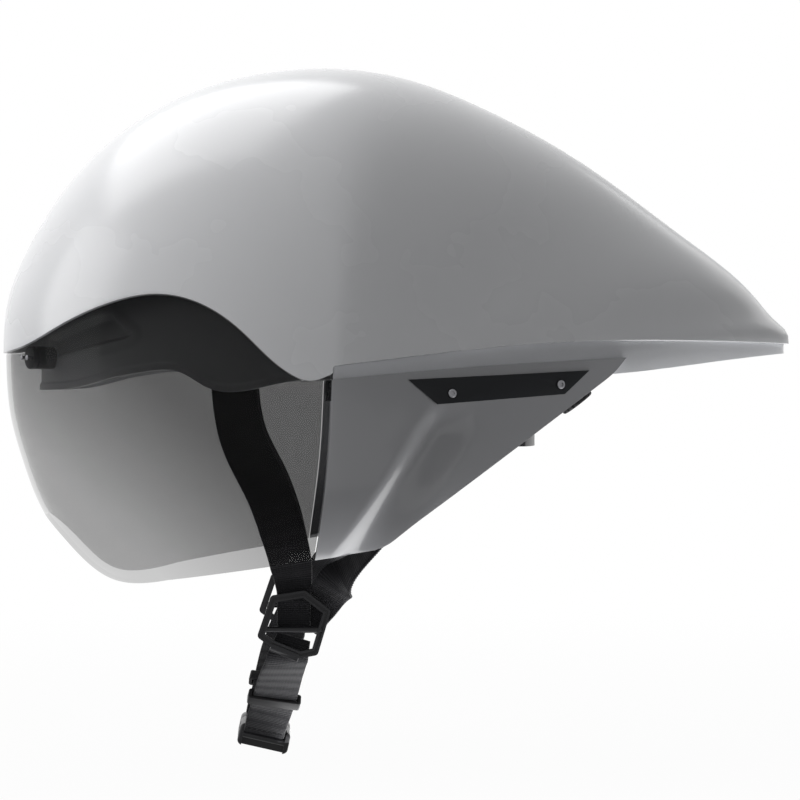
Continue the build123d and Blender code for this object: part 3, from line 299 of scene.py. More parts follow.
@dataclass(frozen=True)
class BeadFoam(Finish):
    """Moulded foam: beads with fine dark seams between them."""

    bead: float = 420.0

    def texture(self, tree: bpy.types.NodeTree, shader: bpy.types.Node,
                place: bpy.types.NodeSocket) -> None:
        """Adds the beads to the colour and the relief.

        Args:
            tree: The material's nodes.
            shader: The Principled shader.
            place: The coordinates that the patterns follow.
        """
        cells = tree.nodes.new("ShaderNodeTexVoronoi")
        cells.feature = "DISTANCE_TO_EDGE"
        cells.inputs["Scale"].default_value = self.bead
        tree.links.new(place, cells.inputs["Vector"])
        seam = tree.nodes.new("ShaderNodeMapRange")
        seam.inputs["From Max"].default_value = 0.12
        tree.links.new(cells.outputs["Distance"], seam.inputs["Value"])
        mottled_colour(tree, shader, seam.outputs["Result"], self.colour, 0.35)
        bump(tree, shader, seam.outputs["Result"], self.grain_depth)


@dataclass(frozen=True)
class Webbing(Finish):
    """Woven strap: ribs across it and a fine weave, laid along the strap's own UV map."""

    ribs: float = 0.9
    strands: float = 14.0

    def texture(self, tree: bpy.types.NodeTree, shader: bpy.types.Node,
                place: bpy.types.NodeSocket) -> None:
        """Adds the weave to the colour and the relief.

        Args:
            tree: The material's nodes.
            shader: The Principled shader.
            place: Not used, because the weave follows the strap's own UV map.
        """
        uv = tree.nodes.new("ShaderNodeUVMap")
        uv.uv_map = "strap"
        split = tree.nodes.new("ShaderNodeSeparateXYZ")
        tree.links.new(uv.outputs["UV"], split.inputs["Vector"])
        ribs = self.wave(tree, split.outputs["X"], 2 * pi / self.ribs)
        strands = self.wave(tree, split.outputs["Y"], 2 * pi * self.strands)
        weave = tree.nodes.new("ShaderNodeMath")
        weave.operation = "MULTIPLY_ADD"
        weave.inputs[1].default_value = 0.45
        tree.links.new(strands, weave.inputs[0])
        tree.links.new(ribs, weave.inputs[2])
        mottled_colour(tree, shader, weave.outputs["Value"], self.colour, 0.4)
        bump(tree, shader, weave.outputs["Value"], self.grain_depth)

    def wave(self, tree: bpy.types.NodeTree, value: bpy.types.NodeSocket,
             rate: float) -> bpy.types.NodeSocket:
        """A sine of a value times a rate, from 0 to 1.

        Args:
            tree: The material's nodes.
            value: The distance that it runs along.
            rate: The turns to the unit, in radians.

        Returns:
            The wave.
        """
        times = tree.nodes.new("ShaderNodeMath")
        times.operation = "MULTIPLY"
        times.inputs[1].default_value = rate
        tree.links.new(value, times.inputs[0])
        curve = tree.nodes.new("ShaderNodeMath")
        curve.operation = "SINE"
        tree.links.new(times.outputs["Value"], curve.inputs[0])
        half = tree.nodes.new("ShaderNodeMath")
        half.operation = "MULTIPLY_ADD"
        half.inputs[1].default_value = 0.5
        half.inputs[2].default_value = 0.5
        tree.links.new(curve.outputs["Value"], half.inputs[0])
        return half.outputs["Value"]


@dataclass(frozen=True)
class Knit(Finish):
    """Brushed knit over soft foam: small rows of loops and a nap."""

    loop: float = 0.9

    def texture(self, tree: bpy.types.NodeTree, shader: bpy.types.Node,
                place: bpy.types.NodeSocket) -> None:
        """Adds the loops and the nap.

        Args:
            tree: The material's nodes.
            shader: The Principled shader.
            place: The coordinates that the patterns follow.
        """
        cells = tree.nodes.new("ShaderNodeTexVoronoi")
        cells.inputs["Scale"].default_value = 1000.0 / self.loop
        cells.inputs["Randomness"].default_value = 0.35
        tree.links.new(place, cells.inputs["Vector"])
        nap = noise(tree, place, 160.0, 4.0)
        mottled_colour(tree, shader, nap, self.colour, 0.35)
        bump(tree, shader, cells.outputs["Distance"], self.grain_depth)


SHELL_WHITE = Finish("shell_white", (0.83, 0.836, 0.852), rough=0.26, coat=0.35, coat_rough=0.18,
                     grain=700.0, grain_depth=0.012, mottle=0.01)
BELLY_SILVER = Finish("belly_silver", (0.76, 0.77, 0.795), rough=0.34, coat=0.3, coat_rough=0.2,
                      grain=1400.0, grain_depth=0.01, mottle=0.02)
FRAME_GREY = Finish("frame_grey", (0.42, 0.425, 0.435), rough=0.42, specular=0.4, grain=1600.0,
                    grain_depth=0.03, mottle=0.06)
LENS_SMOKE = SmokeLens("lens_smoke", (0.004, 0.004, 0.0045), rough=0.05, specular=0.06)
SHIELD_GREY = Finish("shield_grey", (0.30, 0.303, 0.318), rough=0.22, coat=0.3, coat_rough=0.08,
                     grain=500.0, grain_depth=0.006, mottle=0.02)
PLATE_BLACK = Finish("plate_black", (0.010, 0.011, 0.013), rough=0.36, specular=0.12, grain=1800.0,
                     grain_depth=0.03, mottle=0.08)
TRIM_BLACK = Finish("trim_black", (0.016, 0.016, 0.018), rough=0.33, specular=0.2, grain=1800.0,
                    grain_depth=0.02, mottle=0.08)
SCREW_STEEL = Finish("screw_steel", (0.16, 0.16, 0.17), rough=0.34, metal=1.0, grain=2200.0,
                     grain_depth=0.006, mottle=0.08)
SOCKET_BRASS = Finish("socket_brass", (0.62, 0.46, 0.20), rough=0.36, metal=1.0, grain=2500.0,
                      grain_depth=0.02, mottle=0.06)
MAGNET_DARK = Finish("magnet_dark", (0.028, 0.029, 0.032), rough=0.35, specular=0.3, grain=1500.0,
                     grain_depth=0.01, mottle=0.06)
FOAM_BLACK = BeadFoam("foam_black", (0.022, 0.022, 0.024), rough=0.72, specular=0.2,
                      grain_depth=0.25)
RUBBER_BLACK = Finish("rubber_black", (0.013, 0.013, 0.014), rough=0.55, specular=0.2, grain=1200.0,
                      grain_depth=0.02, mottle=0.1)
WEBBING_BLACK = Webbing("webbing_black", (0.017, 0.017, 0.019), rough=0.62, specular=0.08,
                        grain_depth=0.16, sheen=0.15)
PAD_FABRIC = Knit("pad_fabric", (0.020, 0.020, 0.023), rough=0.9, grain_depth=0.18, sheen=0.3)


# Curves


def smooth_points(points: Sequence[Sequence[float]], count: int = 240,
                  start: Optional[Sequence[float]] = None,
                  end: Optional[Sequence[float]] = None) -> np.ndarray:
    """Samples of the smooth curve through some points.

    Args:
        points: The points it goes through, in any number of dimensions.
        count: How many samples it gives.
        start: Its direction at the start, or None where it ends unbent.
        end: Its direction at the end, or None where it ends unbent.

    Returns:
        The samples, one in each row.
    """
    known = np.array(points, float)
    n = len(known)
    steps = np.linalg.norm(np.diff(known, axis=0), axis=1)
    length = steps.sum()
    u = np.concatenate([[0.0], np.cumsum(steps)]) / length
    h = np.diff(u)
    system = np.zeros((n, n))
    right = np.zeros_like(known)
    for i in range(1, n - 1):
        system[i, i - 1] = h[i]
        system[i, i] = 2 * (h[i - 1] + h[i])
        system[i, i + 1] = h[i - 1]
        right[i] = 3 * (h[i] * (known[i] - known[i - 1]) / h[i - 1]
                        + h[i - 1] * (known[i + 1] - known[i]) / h[i])
    for row, other, direction, step in ((0, 1, start, 0), (n - 1, n - 2, end, n - 2)):
        if direction is None:
            system[row, row] = 2.0
            system[row, other] = 1.0
            right[row] = 3 * (known[step + 1] - known[step]) / h[step]
        else:
            system[row, row] = 1.0
            right[row] = np.array(direction, float) * length
    slopes = np.linalg.solve(system, right)
    at = np.linspace(0, 1, count)
    i = np.clip(np.searchsorted(u, at, side="right") - 1, 0, n - 2)
    s = ((at - u[i]) / h[i])[:, None]
    wide = h[i][:, None]
    return ((2 * s**3 - 3 * s**2 + 1) * known[i] + (s**3 - 2 * s**2 + s) * wide * slopes[i]
            + (3 * s**2 - 2 * s**3) * known[i + 1] + (s**3 - s**2) * wide * slopes[i + 1])


def height_run(points: Sequence[Sequence[float]], smooth: bool = True) -> Run:
    """A side-view line as a height for each X.

    Args:
        points: Its points, with X rising.
        smooth: Whether it is a curve and not straight pieces.

    Returns:
        The function from X to Z.
    """
    line = smooth_points(points, 600) if smooth else np.array(points, float)
    return lambda x: np.interp(x, line[:, 0], line[:, 1])


# The egg that every skin follows


@dataclass(frozen=True)
class EggShape:
    """The helmet's egg, with the shares that the solids are made from."""

    dome_x: float = 13.0
    drop: float = 45.0
    nose: float = 146.5
    tail: float = 210.5
    crown: float = 141.0
    half_width: float = 101.0
    depth: float = 106.0
    tail_round: float = 0.10
    tail_shoulder: float = 0.12
    nose_shares: tuple = ((0, 1), (0.2306, 0.978), (0.4979, 0.883), (0.7603, 0.674),
                          (0.921, 0.4255), (0.9842, 0.26), (1.0, 0.10))
    nose_low: tuple = ((0.998, 0), (0.984, 0.17), (0.95, 0.34), (0.9015, 0.52),
                       (0.666, 0.877), (0.35, 0.98), (0, 1.0))
    tail_shares: tuple = ((0, 1), (0.1419, 0.978), (0.2994, 0.897), (0.5609, 0.688),
                          (0.7698, 0.461), (0.9263, 0.266), (0.9717, 0.19), (0.997, 0.15),
                          (1.0, 0.11))
    tail_low: tuple = ((1.0, 0), (1.0, 0.42), (0.9, 0.62), (0.62, 0.86), (0.3, 0.97), (0, 1.0))


EGG = EggShape()


def rise_share(t: np.ndarray) -> np.ndarray:
    """The share of the middle height left at a share of the half width."""
    return np.sqrt(np.maximum(1 - np.abs(t) ** 2.4, 1e-9))


def nose_share(t: np.ndarray) -> np.ndarray:
    """The share of the nose reach left at a share of the half width."""
    return np.sqrt(np.maximum(1 - np.abs(t) ** 2.2, 0.0))


def tail_share(t: np.ndarray) -> np.ndarray:
    """The share of the tail reach left at a share of the half width."""
    rounded = np.hypot(np.abs(t), EGG.tail_round) - EGG.tail_round
    full = hypot(1, EGG.tail_round) - EGG.tail_round
    left = np.maximum(1 - (rounded / full) ** 1.12, 0.0)
    return np.sqrt((left ** (1 / 0.6) + EGG.tail_shoulder * left) / (1 + EGG.tail_shoulder))


class Skin:
    """One surface of the egg, drawn in from the outside by insets."""

    def __init__(self, side: float, nose: Optional[float] = None,
                 tail: Optional[float] = None, lower: bool = False) -> None:
        """Works out the middle outlines.

        Args:
            side: How far it is drawn in at the sides and the top.
            nose: How far at the nose, or None for the same.
            tail: How far at the tail, or None for the same.
            lower: Whether it goes on below the widest line.
        """
        self.half_width = EGG.half_width - side
        nose_reach = EGG.nose - (side if nose is None else nose)
        tail_reach = EGG.tail - (side if tail is None else tail)
        height = EGG.crown - side
        front = [(a * nose_reach, b * height) for a, b in EGG.nose_shares]
        back = [(a * tail_reach, b * height) for a, b in EGG.tail_shares]
        if lower:
            deep = EGG.depth - side
            front += [(a * nose_reach, -b * deep) for a, b in EGG.nose_low]
            back += [(a * tail_reach, -b * deep) for a, b in EGG.tail_low]
            self.front = smooth_points(front, 900, (1, 0), (-1, 0))
            self.back = smooth_points(back, 900)
        else:
            front += [(nose_reach, 0), (nose_reach, -EGG.drop)]
            back += [(tail_reach, 0), (tail_reach, -EGG.drop)]
            self.front = smooth_points(front, 900, (1, 0), (0, -1))
            self.back = smooth_points(back, 900, (1, 0), (0, -1))

    def reach(self, height: np.ndarray, front: bool) -> np.ndarray:
        """The middle outline's distance from the widest place at a height.

        Args:
            height: The heights in the middle section.
            front: Whether the nose half is meant.

        Returns:
            The distances.
        """
        line = (self.front if front else self.back)[::-1]
        return np.interp(height, line[:, 1], line[:, 0], left=0.0, right=0.0)

    def x_at(self, t: np.ndarray, z: np.ndarray, front: bool) -> np.ndarray:
        """X on the skin at a share of the half width and a height.

        Args:
            t: The shares of the half width.
            z: The heights.
            front: Whether the nose half is meant.

        Returns:
            The X places.
        """
        middle = (z + EGG.drop) / rise_share(t) - EGG.drop
        share = nose_share(t) if front else tail_share(t)
        sign = -1 if front else 1
        return EGG.dome_x + sign * share * self.reach(middle, front)

    def t_at(self, x: np.ndarray, z: np.ndarray) -> np.ndarray:
        """The share of the half width at a side-view point.

        Args:
            x: The X places.
            z: The heights.

        Returns:
            The shares, 0 where the point is outside the outline.
        """
        x, z = np.broadcast_arrays(np.asarray(x, float), np.asarray(z, float))
        low = np.zeros(x.shape)
        high = np.full(x.shape, 0.99995)
        for _ in range(HALVINGS):
            t = (low + high) / 2
            front = self.x_at(t, z, True) < x
            back = self.x_at(t, z, False) > x
            inside = np.where(x < EGG.dome_x, front, back)
            low = np.where(inside, t, low)
            high = np.where(inside, high, t)
        return low

    def y_at(self, x: np.ndarray, z: np.ndarray) -> np.ndarray:
        """The half width at a side-view point."""
        return self.t_at(x, z) * self.half_width

    def section(self, s: np.ndarray, t: np.ndarray) -> tuple[np.ndarray, np.ndarray]:
        """A point of the section at a share of the half width.

        Args:
            s: From -1 at the nose's foot over 0 at the crown to 1 at the tail's foot.
            t: The shares of the half width.

        Returns:
            X and Z.
        """
        count = len(self.front) - 1
        at = np.abs(s) * count
        i = np.clip(at.astype(int), 0, count - 1)
        part = (at - i)[..., None]
        front = self.front[i] * (1 - part) + self.front[i + 1] * part
        back = self.back[i] * (1 - part) + self.back[i + 1] * part
        x = np.where(s < 0, EGG.dome_x - front[..., 0] * nose_share(t),
                     EGG.dome_x + back[..., 0] * tail_share(t))
        middle = np.where(s < 0, front[..., 1], back[..., 1])
        return x, (middle + EGG.drop) * rise_share(t) - EGG.drop


def solve(test: Callable[[np.ndarray], np.ndarray], low: np.ndarray,
          high: np.ndarray) -> np.ndarray:
    """Where a test turns from false to true, by halving.

    Args:
        test: Gives True on the high side.
        low: Where the test is false.
        high: Where the test is true.

    Returns:
        The turning places.
    """
    low = np.array(low, float)
    high = np.array(high, float)
    for _ in range(HALVINGS):
        middle = (low + high) / 2
        passed = test(middle)
        high = np.where(passed, middle, high)
        low = np.where(passed, low, middle)
    return (low + high) / 2


def pressed(grid: np.ndarray, depth: np.ndarray) -> np.ndarray:
    """Moves a grid's points inwards along the grid's own normals.

    Args:
        grid: The points, by row and column.
        depth: How far each point moves, below 0 for outwards.

    Returns:
        The moved points.
    """
    normal = np.cross(np.gradient(grid, axis=1), np.gradient(grid, axis=0))
    normal /= np.maximum(np.linalg.norm(normal, axis=2, keepdims=True), 1e-9)
    centre = np.array([EGG.dome_x, 0.0, -EGG.drop])
    out = np.sign((normal * (grid - centre)).sum(axis=2, keepdims=True))
    return grid - normal * out * depth[..., None]


def depth_inside(outline: Sequence[Sequence[float]], x: np.ndarray,
                 z: np.ndarray) -> np.ndarray:
    """How far side-view places lie inside a closed outline.

    Args:
        outline: The outline's corners.
        x: The X places.
        z: The heights.

    Returns:
        The distances to the outline, below 0 for places outside it.
    """
    corners = np.array(outline, float)
    gap = np.full(x.shape, 1e9)
    inside = np.zeros(x.shape, bool)
    for a, b in zip(corners, np.roll(corners, -1, axis=0)):
        edge = b - a
        share = ((x - a[0]) * edge[0] + (z - a[1]) * edge[1]) / (edge @ edge)
        share = np.clip(share, 0, 1)
        gap = np.minimum(gap, np.hypot(x - a[0] - share * edge[0],
                                       z - a[1] - share * edge[1]))
        if edge[1] != 0:
            crossed = a[0] + (z - a[1]) * edge[0] / edge[1]
            inside ^= ((a[1] > z) != (b[1] > z)) & (x < crossed)
    return np.where(inside, gap, -gap)


def eased(value: np.ndarray, low: float, high: float) -> np.ndarray:
    """A soft step from 0 below one value to 1 above another."""
    share = np.clip((value - low) / (high - low), 0, 1)
    return share * share * (3 - 2 * share)


# Side-view lines of the pieces, from the same shares as the solids


def nose_line(shares: Sequence[Sequence[float]]) -> list[tuple[float, float]]:
    """Side-view points from shares of the nose reach and the crown height."""
    return [(EGG.dome_x - a * EGG.nose, b * EGG.crown) for a, b in shares]


def tail_line(shares: Sequence[Sequence[float]]) -> list[tuple[float, float]]:
    """Side-view points from shares of the tail reach and the crown height."""
    return [(EGG.dome_x + a * EGG.tail, b * EGG.crown) for a, b in shares]


LIP = height_run(nose_line(((1.02, 0.082), (0.925, 0.103), (0.799, 0.168), (0.676, 0.225),
                            (0.498, 0.259), (0.392, 0.234), (0.269, 0.152), (0.123, 0.018),
                            (0.068, -0.003), (0.003, 0.017))))
SEAM = height_run(tail_line(((0, 0.041), (0.135, 0.066), (0.402, 0.110), (0.679, 0.125),
                             (1.06, 0.115))))


# Meshes


def new_object(name: str, vertices: np.ndarray, faces: Sequence[Sequence[int]],
               finish: Finish) -> bpy.types.Object:
    """A mesh object from points in millimetres.

    Args:
        name: The piece's name.
        vertices: The points, one in each row.
        faces: The corners of each face.
        finish: Its finish.

    Returns:
        The object, linked to the scene.
    """
    mesh = bpy.data.meshes.new(name)
    mesh.from_pydata((np.asarray(vertices) * MM).tolist(), [], [list(f) for f in faces])
    mesh.materials.append(finish.build())
    made = bpy.data.objects.new(name, mesh)
    bpy.context.scene.collection.objects.link(made)
    return made


def grid_faces(rows: int, columns: int, flip: bool = False,
               closed: bool = False) -> list[tuple[int, int, int, int]]:
    """The quads of a grid of points.

    Args:
        rows: How many rows it has.
        columns: How many points are in each row.
        flip: Whether the faces turn the other way.
        closed: Whether each row's end meets its start.

    Returns:
        The faces.
    """
    faces = []
    for i in range(rows - 1):
        for j in range(columns if closed else columns - 1):
            k = (j + 1) % columns
            face = (i * columns + j, i * columns + k, (i + 1) * columns + k,
                    (i + 1) * columns + j)
            faces.append(face[::-1] if flip else face)
    return faces


def baked(made: bpy.types.Object, sharp: float = 35.0) -> bpy.types.Object:
    """Applies an object's modifiers and smooths its faces.

    Args:
        made: The object.
        sharp: The angle in degrees past which an edge stays sharp.

    Returns:
        The same object with a plain mesh.
    """
    bpy.context.view_layer.update()
    graph = bpy.context.evaluated_depsgraph_get()
    mesh = bpy.data.meshes.new_from_object(made.evaluated_get(graph),
                                           preserve_all_data_layers=True, depsgraph=graph)
    made.modifiers.clear()
    old = made.data
    made.data = mesh
    mesh.name = old.name
    bpy.data.meshes.remove(old)
    smooth(mesh, sharp)
    return made


def smooth(mesh: bpy.types.Mesh, sharp: float) -> None:
    """Shades a mesh smooth but for its sharp edges.

    Args:
        mesh: The mesh.
        sharp: The angle in degrees past which an edge stays sharp.
    """
    mesh.polygons.foreach_set("use_smooth", [True] * len(mesh.polygons))
    mesh.set_sharp_from_angle(angle=radians(sharp))
    mesh.update()


def cleaned(made: bpy.types.Object, gap: float = 0.02) -> None:
    """Merges an object's double points and drops the faces that collapse.

    Args:
        made: The object.
        gap: The merging distance in millimetres.
    """
    work = bmesh.new()
    work.from_mesh(made.data)
    bmesh.ops.remove_doubles(work, verts=work.verts, dist=gap * MM)
    bmesh.ops.dissolve_degenerate(work, dist=gap * MM, edges=work.edges)
    work.to_mesh(made.data)
    work.free()


def face_outwards(made: bpy.types.Object) -> None:
    """Turns a skin's faces to point away from the helmet's middle.

    Args:
        made: The skin.
    """
    centre = Vector((EGG.dome_x, 0.0, -EGG.drop)) * MM
    total = sum(face.normal.dot(face.center - centre) * face.area
                for face in made.data.polygons)
    if total < 0:
        made.data.flip_normals()


def walled(made: bpy.types.Object, wall: float, round_edge: float,
           segments: int = 3) -> bpy.types.Object:
    """Gives a skin its wall, inwards, and rounds its rims.

    Args:
        made: The skin, with its faces outwards.
        wall: The wall in millimetres.
        round_edge: The rims' rounding in millimetres.
        segments: The steps of the rounding.

    Returns:
        The finished object.
    """
    face_outwards(made)
    thick = made.modifiers.new("wall", "SOLIDIFY")
    thick.thickness = wall * MM
    thick.offset = -1.0
    thick.use_even_offset = True
    thick.thickness_clamp = 0.0
    edge = made.modifiers.new("rims", "BEVEL")
    edge.width = round_edge * MM
    edge.segments = segments
    edge.limit_method = "ANGLE"
    edge.angle_limit = radians(50)
    edge.harden_normals = False
    return baked(made, 50.0)


@dataclass(frozen=True)
class Bend:
    """A second body and the two ends of a springy piece; they are kept, but nothing makes the piece
    follow them.
    """

    body: str
    start: tuple[float, float, float]
    end: tuple[float, float, float]


def node_copy(node: str, name: str, finish: Finish, round_edge: float = 0.0,
              body: str = "helmet", slot: Optional[str] = None,
              bend: Optional[Bend] = None) -> bpy.types.Object:
    """A merged copy of a solid with rounded edges, which stands for it.

    Args:
        node: The solid's name.
        name: The new piece's name.
        finish: Its finish.
        round_edge: The rounding in millimetres, or 0 for none.
        body: The body that it rides on.
        slot: The slot name handed on to settle, or None for the finish's own name.
        bend: A bend, which leaves it off its body with its place baked in, or None.

    Returns:
        The new piece.
    """
    made = bpy.data.objects.new(name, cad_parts[node].data.copy())
    bpy.context.scene.collection.objects.link(made)
    made.data.name = name
    made.data.materials.clear()
    made.data.materials.append(finish.build())
    cleaned(made, 0.005)
    if round_edge > 0:
        flat = made.modifiers.new("facets", "DECIMATE")
        flat.decimate_type = "DISSOLVE"
        flat.angle_limit = radians(1.0)
        edge = made.modifiers.new("edges", "BEVEL")
        edge.width = round_edge * MM
        edge.segments = 2
        edge.limit_method = "ANGLE"
        edge.angle_limit = radians(32)
        edge.harden_normals = False
    baked(made, 32.0)
    settle(made, body, slot or finish.name, node, bend=bend)
    return made


def settle(made: bpy.types.Object, body: str, slot: str, *nodes: str,
           bend: Optional[Bend] = None) -> bpy.types.Object:
    """Puts a finished piece on its body and reports it.

    Args:
        made: The piece.
        body: The body that it rides on.
        slot: Not used.
        nodes: The solids that it stands for.
        bend: A bend, which keeps it off its body with its place baked in, or None.

    Returns:
        The piece.
    """
    if bend is None:
        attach(made, body)
    else:
        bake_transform(made)
    if nodes:
        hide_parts(*nodes)
    LOG.info("%s on %s: %d faces", made.name, body, len(made.data.polygons))
    return made


def dress(node: str, finish: Finish) -> None:
    """Gives a solid that stays its finish.

    Args:
        node: The solid's name.
        finish: Its finish.
    """
    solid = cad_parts[node]
    solid.data.materials.clear()
    solid.data.materials.append(finish.build())
    LOG.info("%s stays, in %s", node, finish.name)


# Pieces that repeat


@dataclass
class Repeater:
    """A Geometry Nodes tree that sets one small piece on every point of a mesh.

    The points carry the piece's turn and size as attributes.
    """

    name: str
    finish: Finish
    jitter: float = 0.0
    seed: int = 7

    def tree(self) -> bpy.types.NodeTree:
        """Makes the node tree, with named inputs.

        Returns:
            The tree.
        """
        made = bpy.data.node_groups.new(self.name, "GeometryNodeTree")
        for label, kind in (("Points", "Geometry"), ("Piece", "Object"), ("Jitter", "Float"),
                            ("Seed", "Int"), ("Finish", "Material")):
            made.interface.new_socket(label, in_out="INPUT", socket_type=f"NodeSocket{kind}")
        made.interface.new_socket("Mesh", in_out="OUTPUT", socket_type="NodeSocketGeometry")
        start = made.nodes.new("NodeGroupInput").outputs
        piece = made.nodes.new("GeometryNodeObjectInfo")
        made.links.new(start["Piece"], piece.inputs["Object"])
        chance = made.nodes.new("FunctionNodeRandomValue")
        chance.data_type = "FLOAT_VECTOR"
        chance.inputs["Min"].default_value = (-1.0, -1.0, -1.0)
        made.links.new(start["Seed"], chance.inputs["Seed"])
        wobble = made.nodes.new("ShaderNodeVectorMath")
        wobble.operation = "SCALE"
        made.links.new(chance.outputs["Value"], wobble.inputs[0])
        made.links.new(start["Jitter"], wobble.inputs["Scale"])
        turn = made.nodes.new("ShaderNodeVectorMath")
        made.links.new(self.attribute(made, "turn"), turn.inputs[0])
        made.links.new(wobble.outputs["Vector"], turn.inputs[1])
        put = made.nodes.new("GeometryNodeInstanceOnPoints")
        made.links.new(start["Points"], put.inputs["Points"])
        made.links.new(piece.outputs["Geometry"], put.inputs["Instance"])
        made.links.new(turn.outputs["Vector"], put.inputs["Rotation"])
        made.links.new(self.attribute(made, "size"), put.inputs["Scale"])
        real = made.nodes.new("GeometryNodeRealizeInstances")
        made.links.new(put.outputs["Instances"], real.inputs["Geometry"])
        paint = made.nodes.new("GeometryNodeSetMaterial")
        made.links.new(real.outputs["Geometry"], paint.inputs["Geometry"])
        made.links.new(start["Finish"], paint.inputs["Material"])
        end = made.nodes.new("NodeGroupOutput")
        made.links.new(paint.outputs["Geometry"], end.inputs["Mesh"])
        return made

    def attribute(self, tree: bpy.types.NodeTree, name: str) -> bpy.types.NodeSocket:
        """A vector attribute of the points, by its name.

        Args:
            tree: The nodes it is added to.
            name: The attribute's name.

        Returns:
            The attribute's value.
        """
        node = tree.nodes.new("GeometryNodeInputNamedAttribute")
        node.data_type = "FLOAT_VECTOR"
        node.inputs["Name"].default_value = name
        return node.outputs["Attribute"]

    def build(self, piece: bpy.types.Object, places: Sequence["Place"]) -> bpy.types.Object:
        """Sets the piece on every place and drops it afterwards.

        Args:
            piece: The small piece, round its own origin.
            places: Where each copy goes.

        Returns:
            One object with all copies in its mesh.
        """
        made = new_object(self.name, np.array([p.centre for p in places]), [], self.finish)
        turns = made.data.attributes.new("turn", "FLOAT_VECTOR", "POINT")
        turns.data.foreach_set("vector", [v for p in places for v in p.euler()])
        sizes = made.data.attributes.new("size", "FLOAT_VECTOR", "POINT")
        sizes.data.foreach_set("vector", [v for p in places for v in p.size])
        nodes = made.modifiers.new("repeat", "NODES")
        nodes.node_group = self.tree()
        values = {"Piece": piece, "Jitter": self.jitter, "Seed": self.seed,
                  "Finish": self.finish.build()}
        for item in nodes.node_group.interface.items_tree:
            if item.name in values:
                nodes[item.identifier] = values[item.name]
        baked(made, 40.0)
        bpy.data.objects.remove(piece)
        return made


@dataclass(frozen=True)
class Place:
    """Where one copy of a repeated piece goes: its centre, two of its axes and its size."""

    centre: tuple[float, float, float]
    ahead: tuple[float, float, float]
    out: tuple[float, float, float]
    size: tuple[float, float, float] = (1.0, 1.0, 1.0)

    def euler(self) -> tuple[float, float, float]:
        """The turn that brings X ahead and Z out.

        Returns:
            The turn as three angles in radians.
        """
        z = Vector(self.out).normalized()
        y = z.cross(Vector(self.ahead)).normalized()
        turn = Matrix((y.cross(z), y, z)).transposed()
        return tuple(turn.to_euler())


def lathed(name: str, rings: Sequence[Sequence[float]], finish: Finish, sides: int = 36,
           socket: float = 0.0) -> bpy.types.Object:
    """A small turned piece round Z, closed at both ends.

    Args:
        name: Its name.
        rings: Radius, height and the share by which the ring is six-sided.
        finish: Its finish.
        sides: The points of each ring.
        socket: The turn of the six sides in degrees.

    Returns:
        The object.
    """
    points = []
    for radius, height, six in rings:
        for k in range(sides):
            turn = 2 * pi * k / sides
            part = (turn + radians(socket)) % (pi / 3) - pi / 6
            reach = radius * (1 - six + six * cos(pi / 6) / cos(part))
            points.append((reach * cos(turn), reach * sin(turn), height))
    faces = grid_faces(len(rings), sides, closed=True)
    faces.append(tuple(range(sides))[::-1])
    faces.append(tuple(range((len(rings) - 1) * sides, len(rings) * sides)))
    made = new_object(name, np.array(points), faces, finish)
    smooth(made.data, 40.0)
    return made


def bar(name: str, finish: Finish, sides: int = 8) -> bpy.types.Object:
    """A bar along X with an oval section, one metre in each direction before its size.

    Args:
        name: Its name.
        finish: Its finish.
        sides: The points of its section.

    Returns:
        The object.
    """
    points = []
    for x, share in ((-0.5, 0.55), (-0.49, 1.0), (0.49, 1.0), (0.5, 0.55)):
        for k in range(sides):
            turn = 2 * pi * (k + 0.5) / sides
            points.append((x / MM, share * cos(turn) / 2 / MM, share * sin(turn) / 2 / MM))
    faces = grid_faces(4, sides, closed=True)
    faces.append(tuple(range(sides))[::-1])
    faces.append(tuple(range(3 * sides, 4 * sides)))
    return new_object(name, np.array(points), faces, finish)


def merged(made: bpy.types.Object, *others: bpy.types.Object) -> bpy.types.Object:
    """Adds other objects' meshes to an object's own and drops those objects.

    Args:
        made: The object that gets them.
        others: The objects that are added.

    Returns:
        The first object.
    """
    work = bmesh.new()
    work.from_mesh(made.data)
    for other in others:
        work.from_mesh(other.data)
    work.to_mesh(made.data)
    work.free()
    for other in others:
        bpy.data.objects.remove(other)
    return made


def solid_middles(node: str) -> list[np.ndarray]:
    """The middle of each separate solid of a node.

    Args:
        node: The node's name.

    Returns:
        The middles in millimetres, in a fixed order.
    """
    work = bmesh.new()
    work.from_mesh(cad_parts[node].data)
    bmesh.ops.remove_doubles(work, verts=work.verts, dist=0.005 * MM)
    left = set(work.verts)
    middles = []
    while left:
        group = [left.pop()]
        for corner in group:
            for edge in corner.link_edges:
                other = edge.other_vert(corner)
                if other in left:
                    left.remove(other)
                    group.append(other)
        points = np.array([corner.co for corner in group]) / MM
        middles.append((points.min(axis=0) + points.max(axis=0)) / 2)
    work.free()
    return sorted(middles, key=lambda middle: tuple(middle))


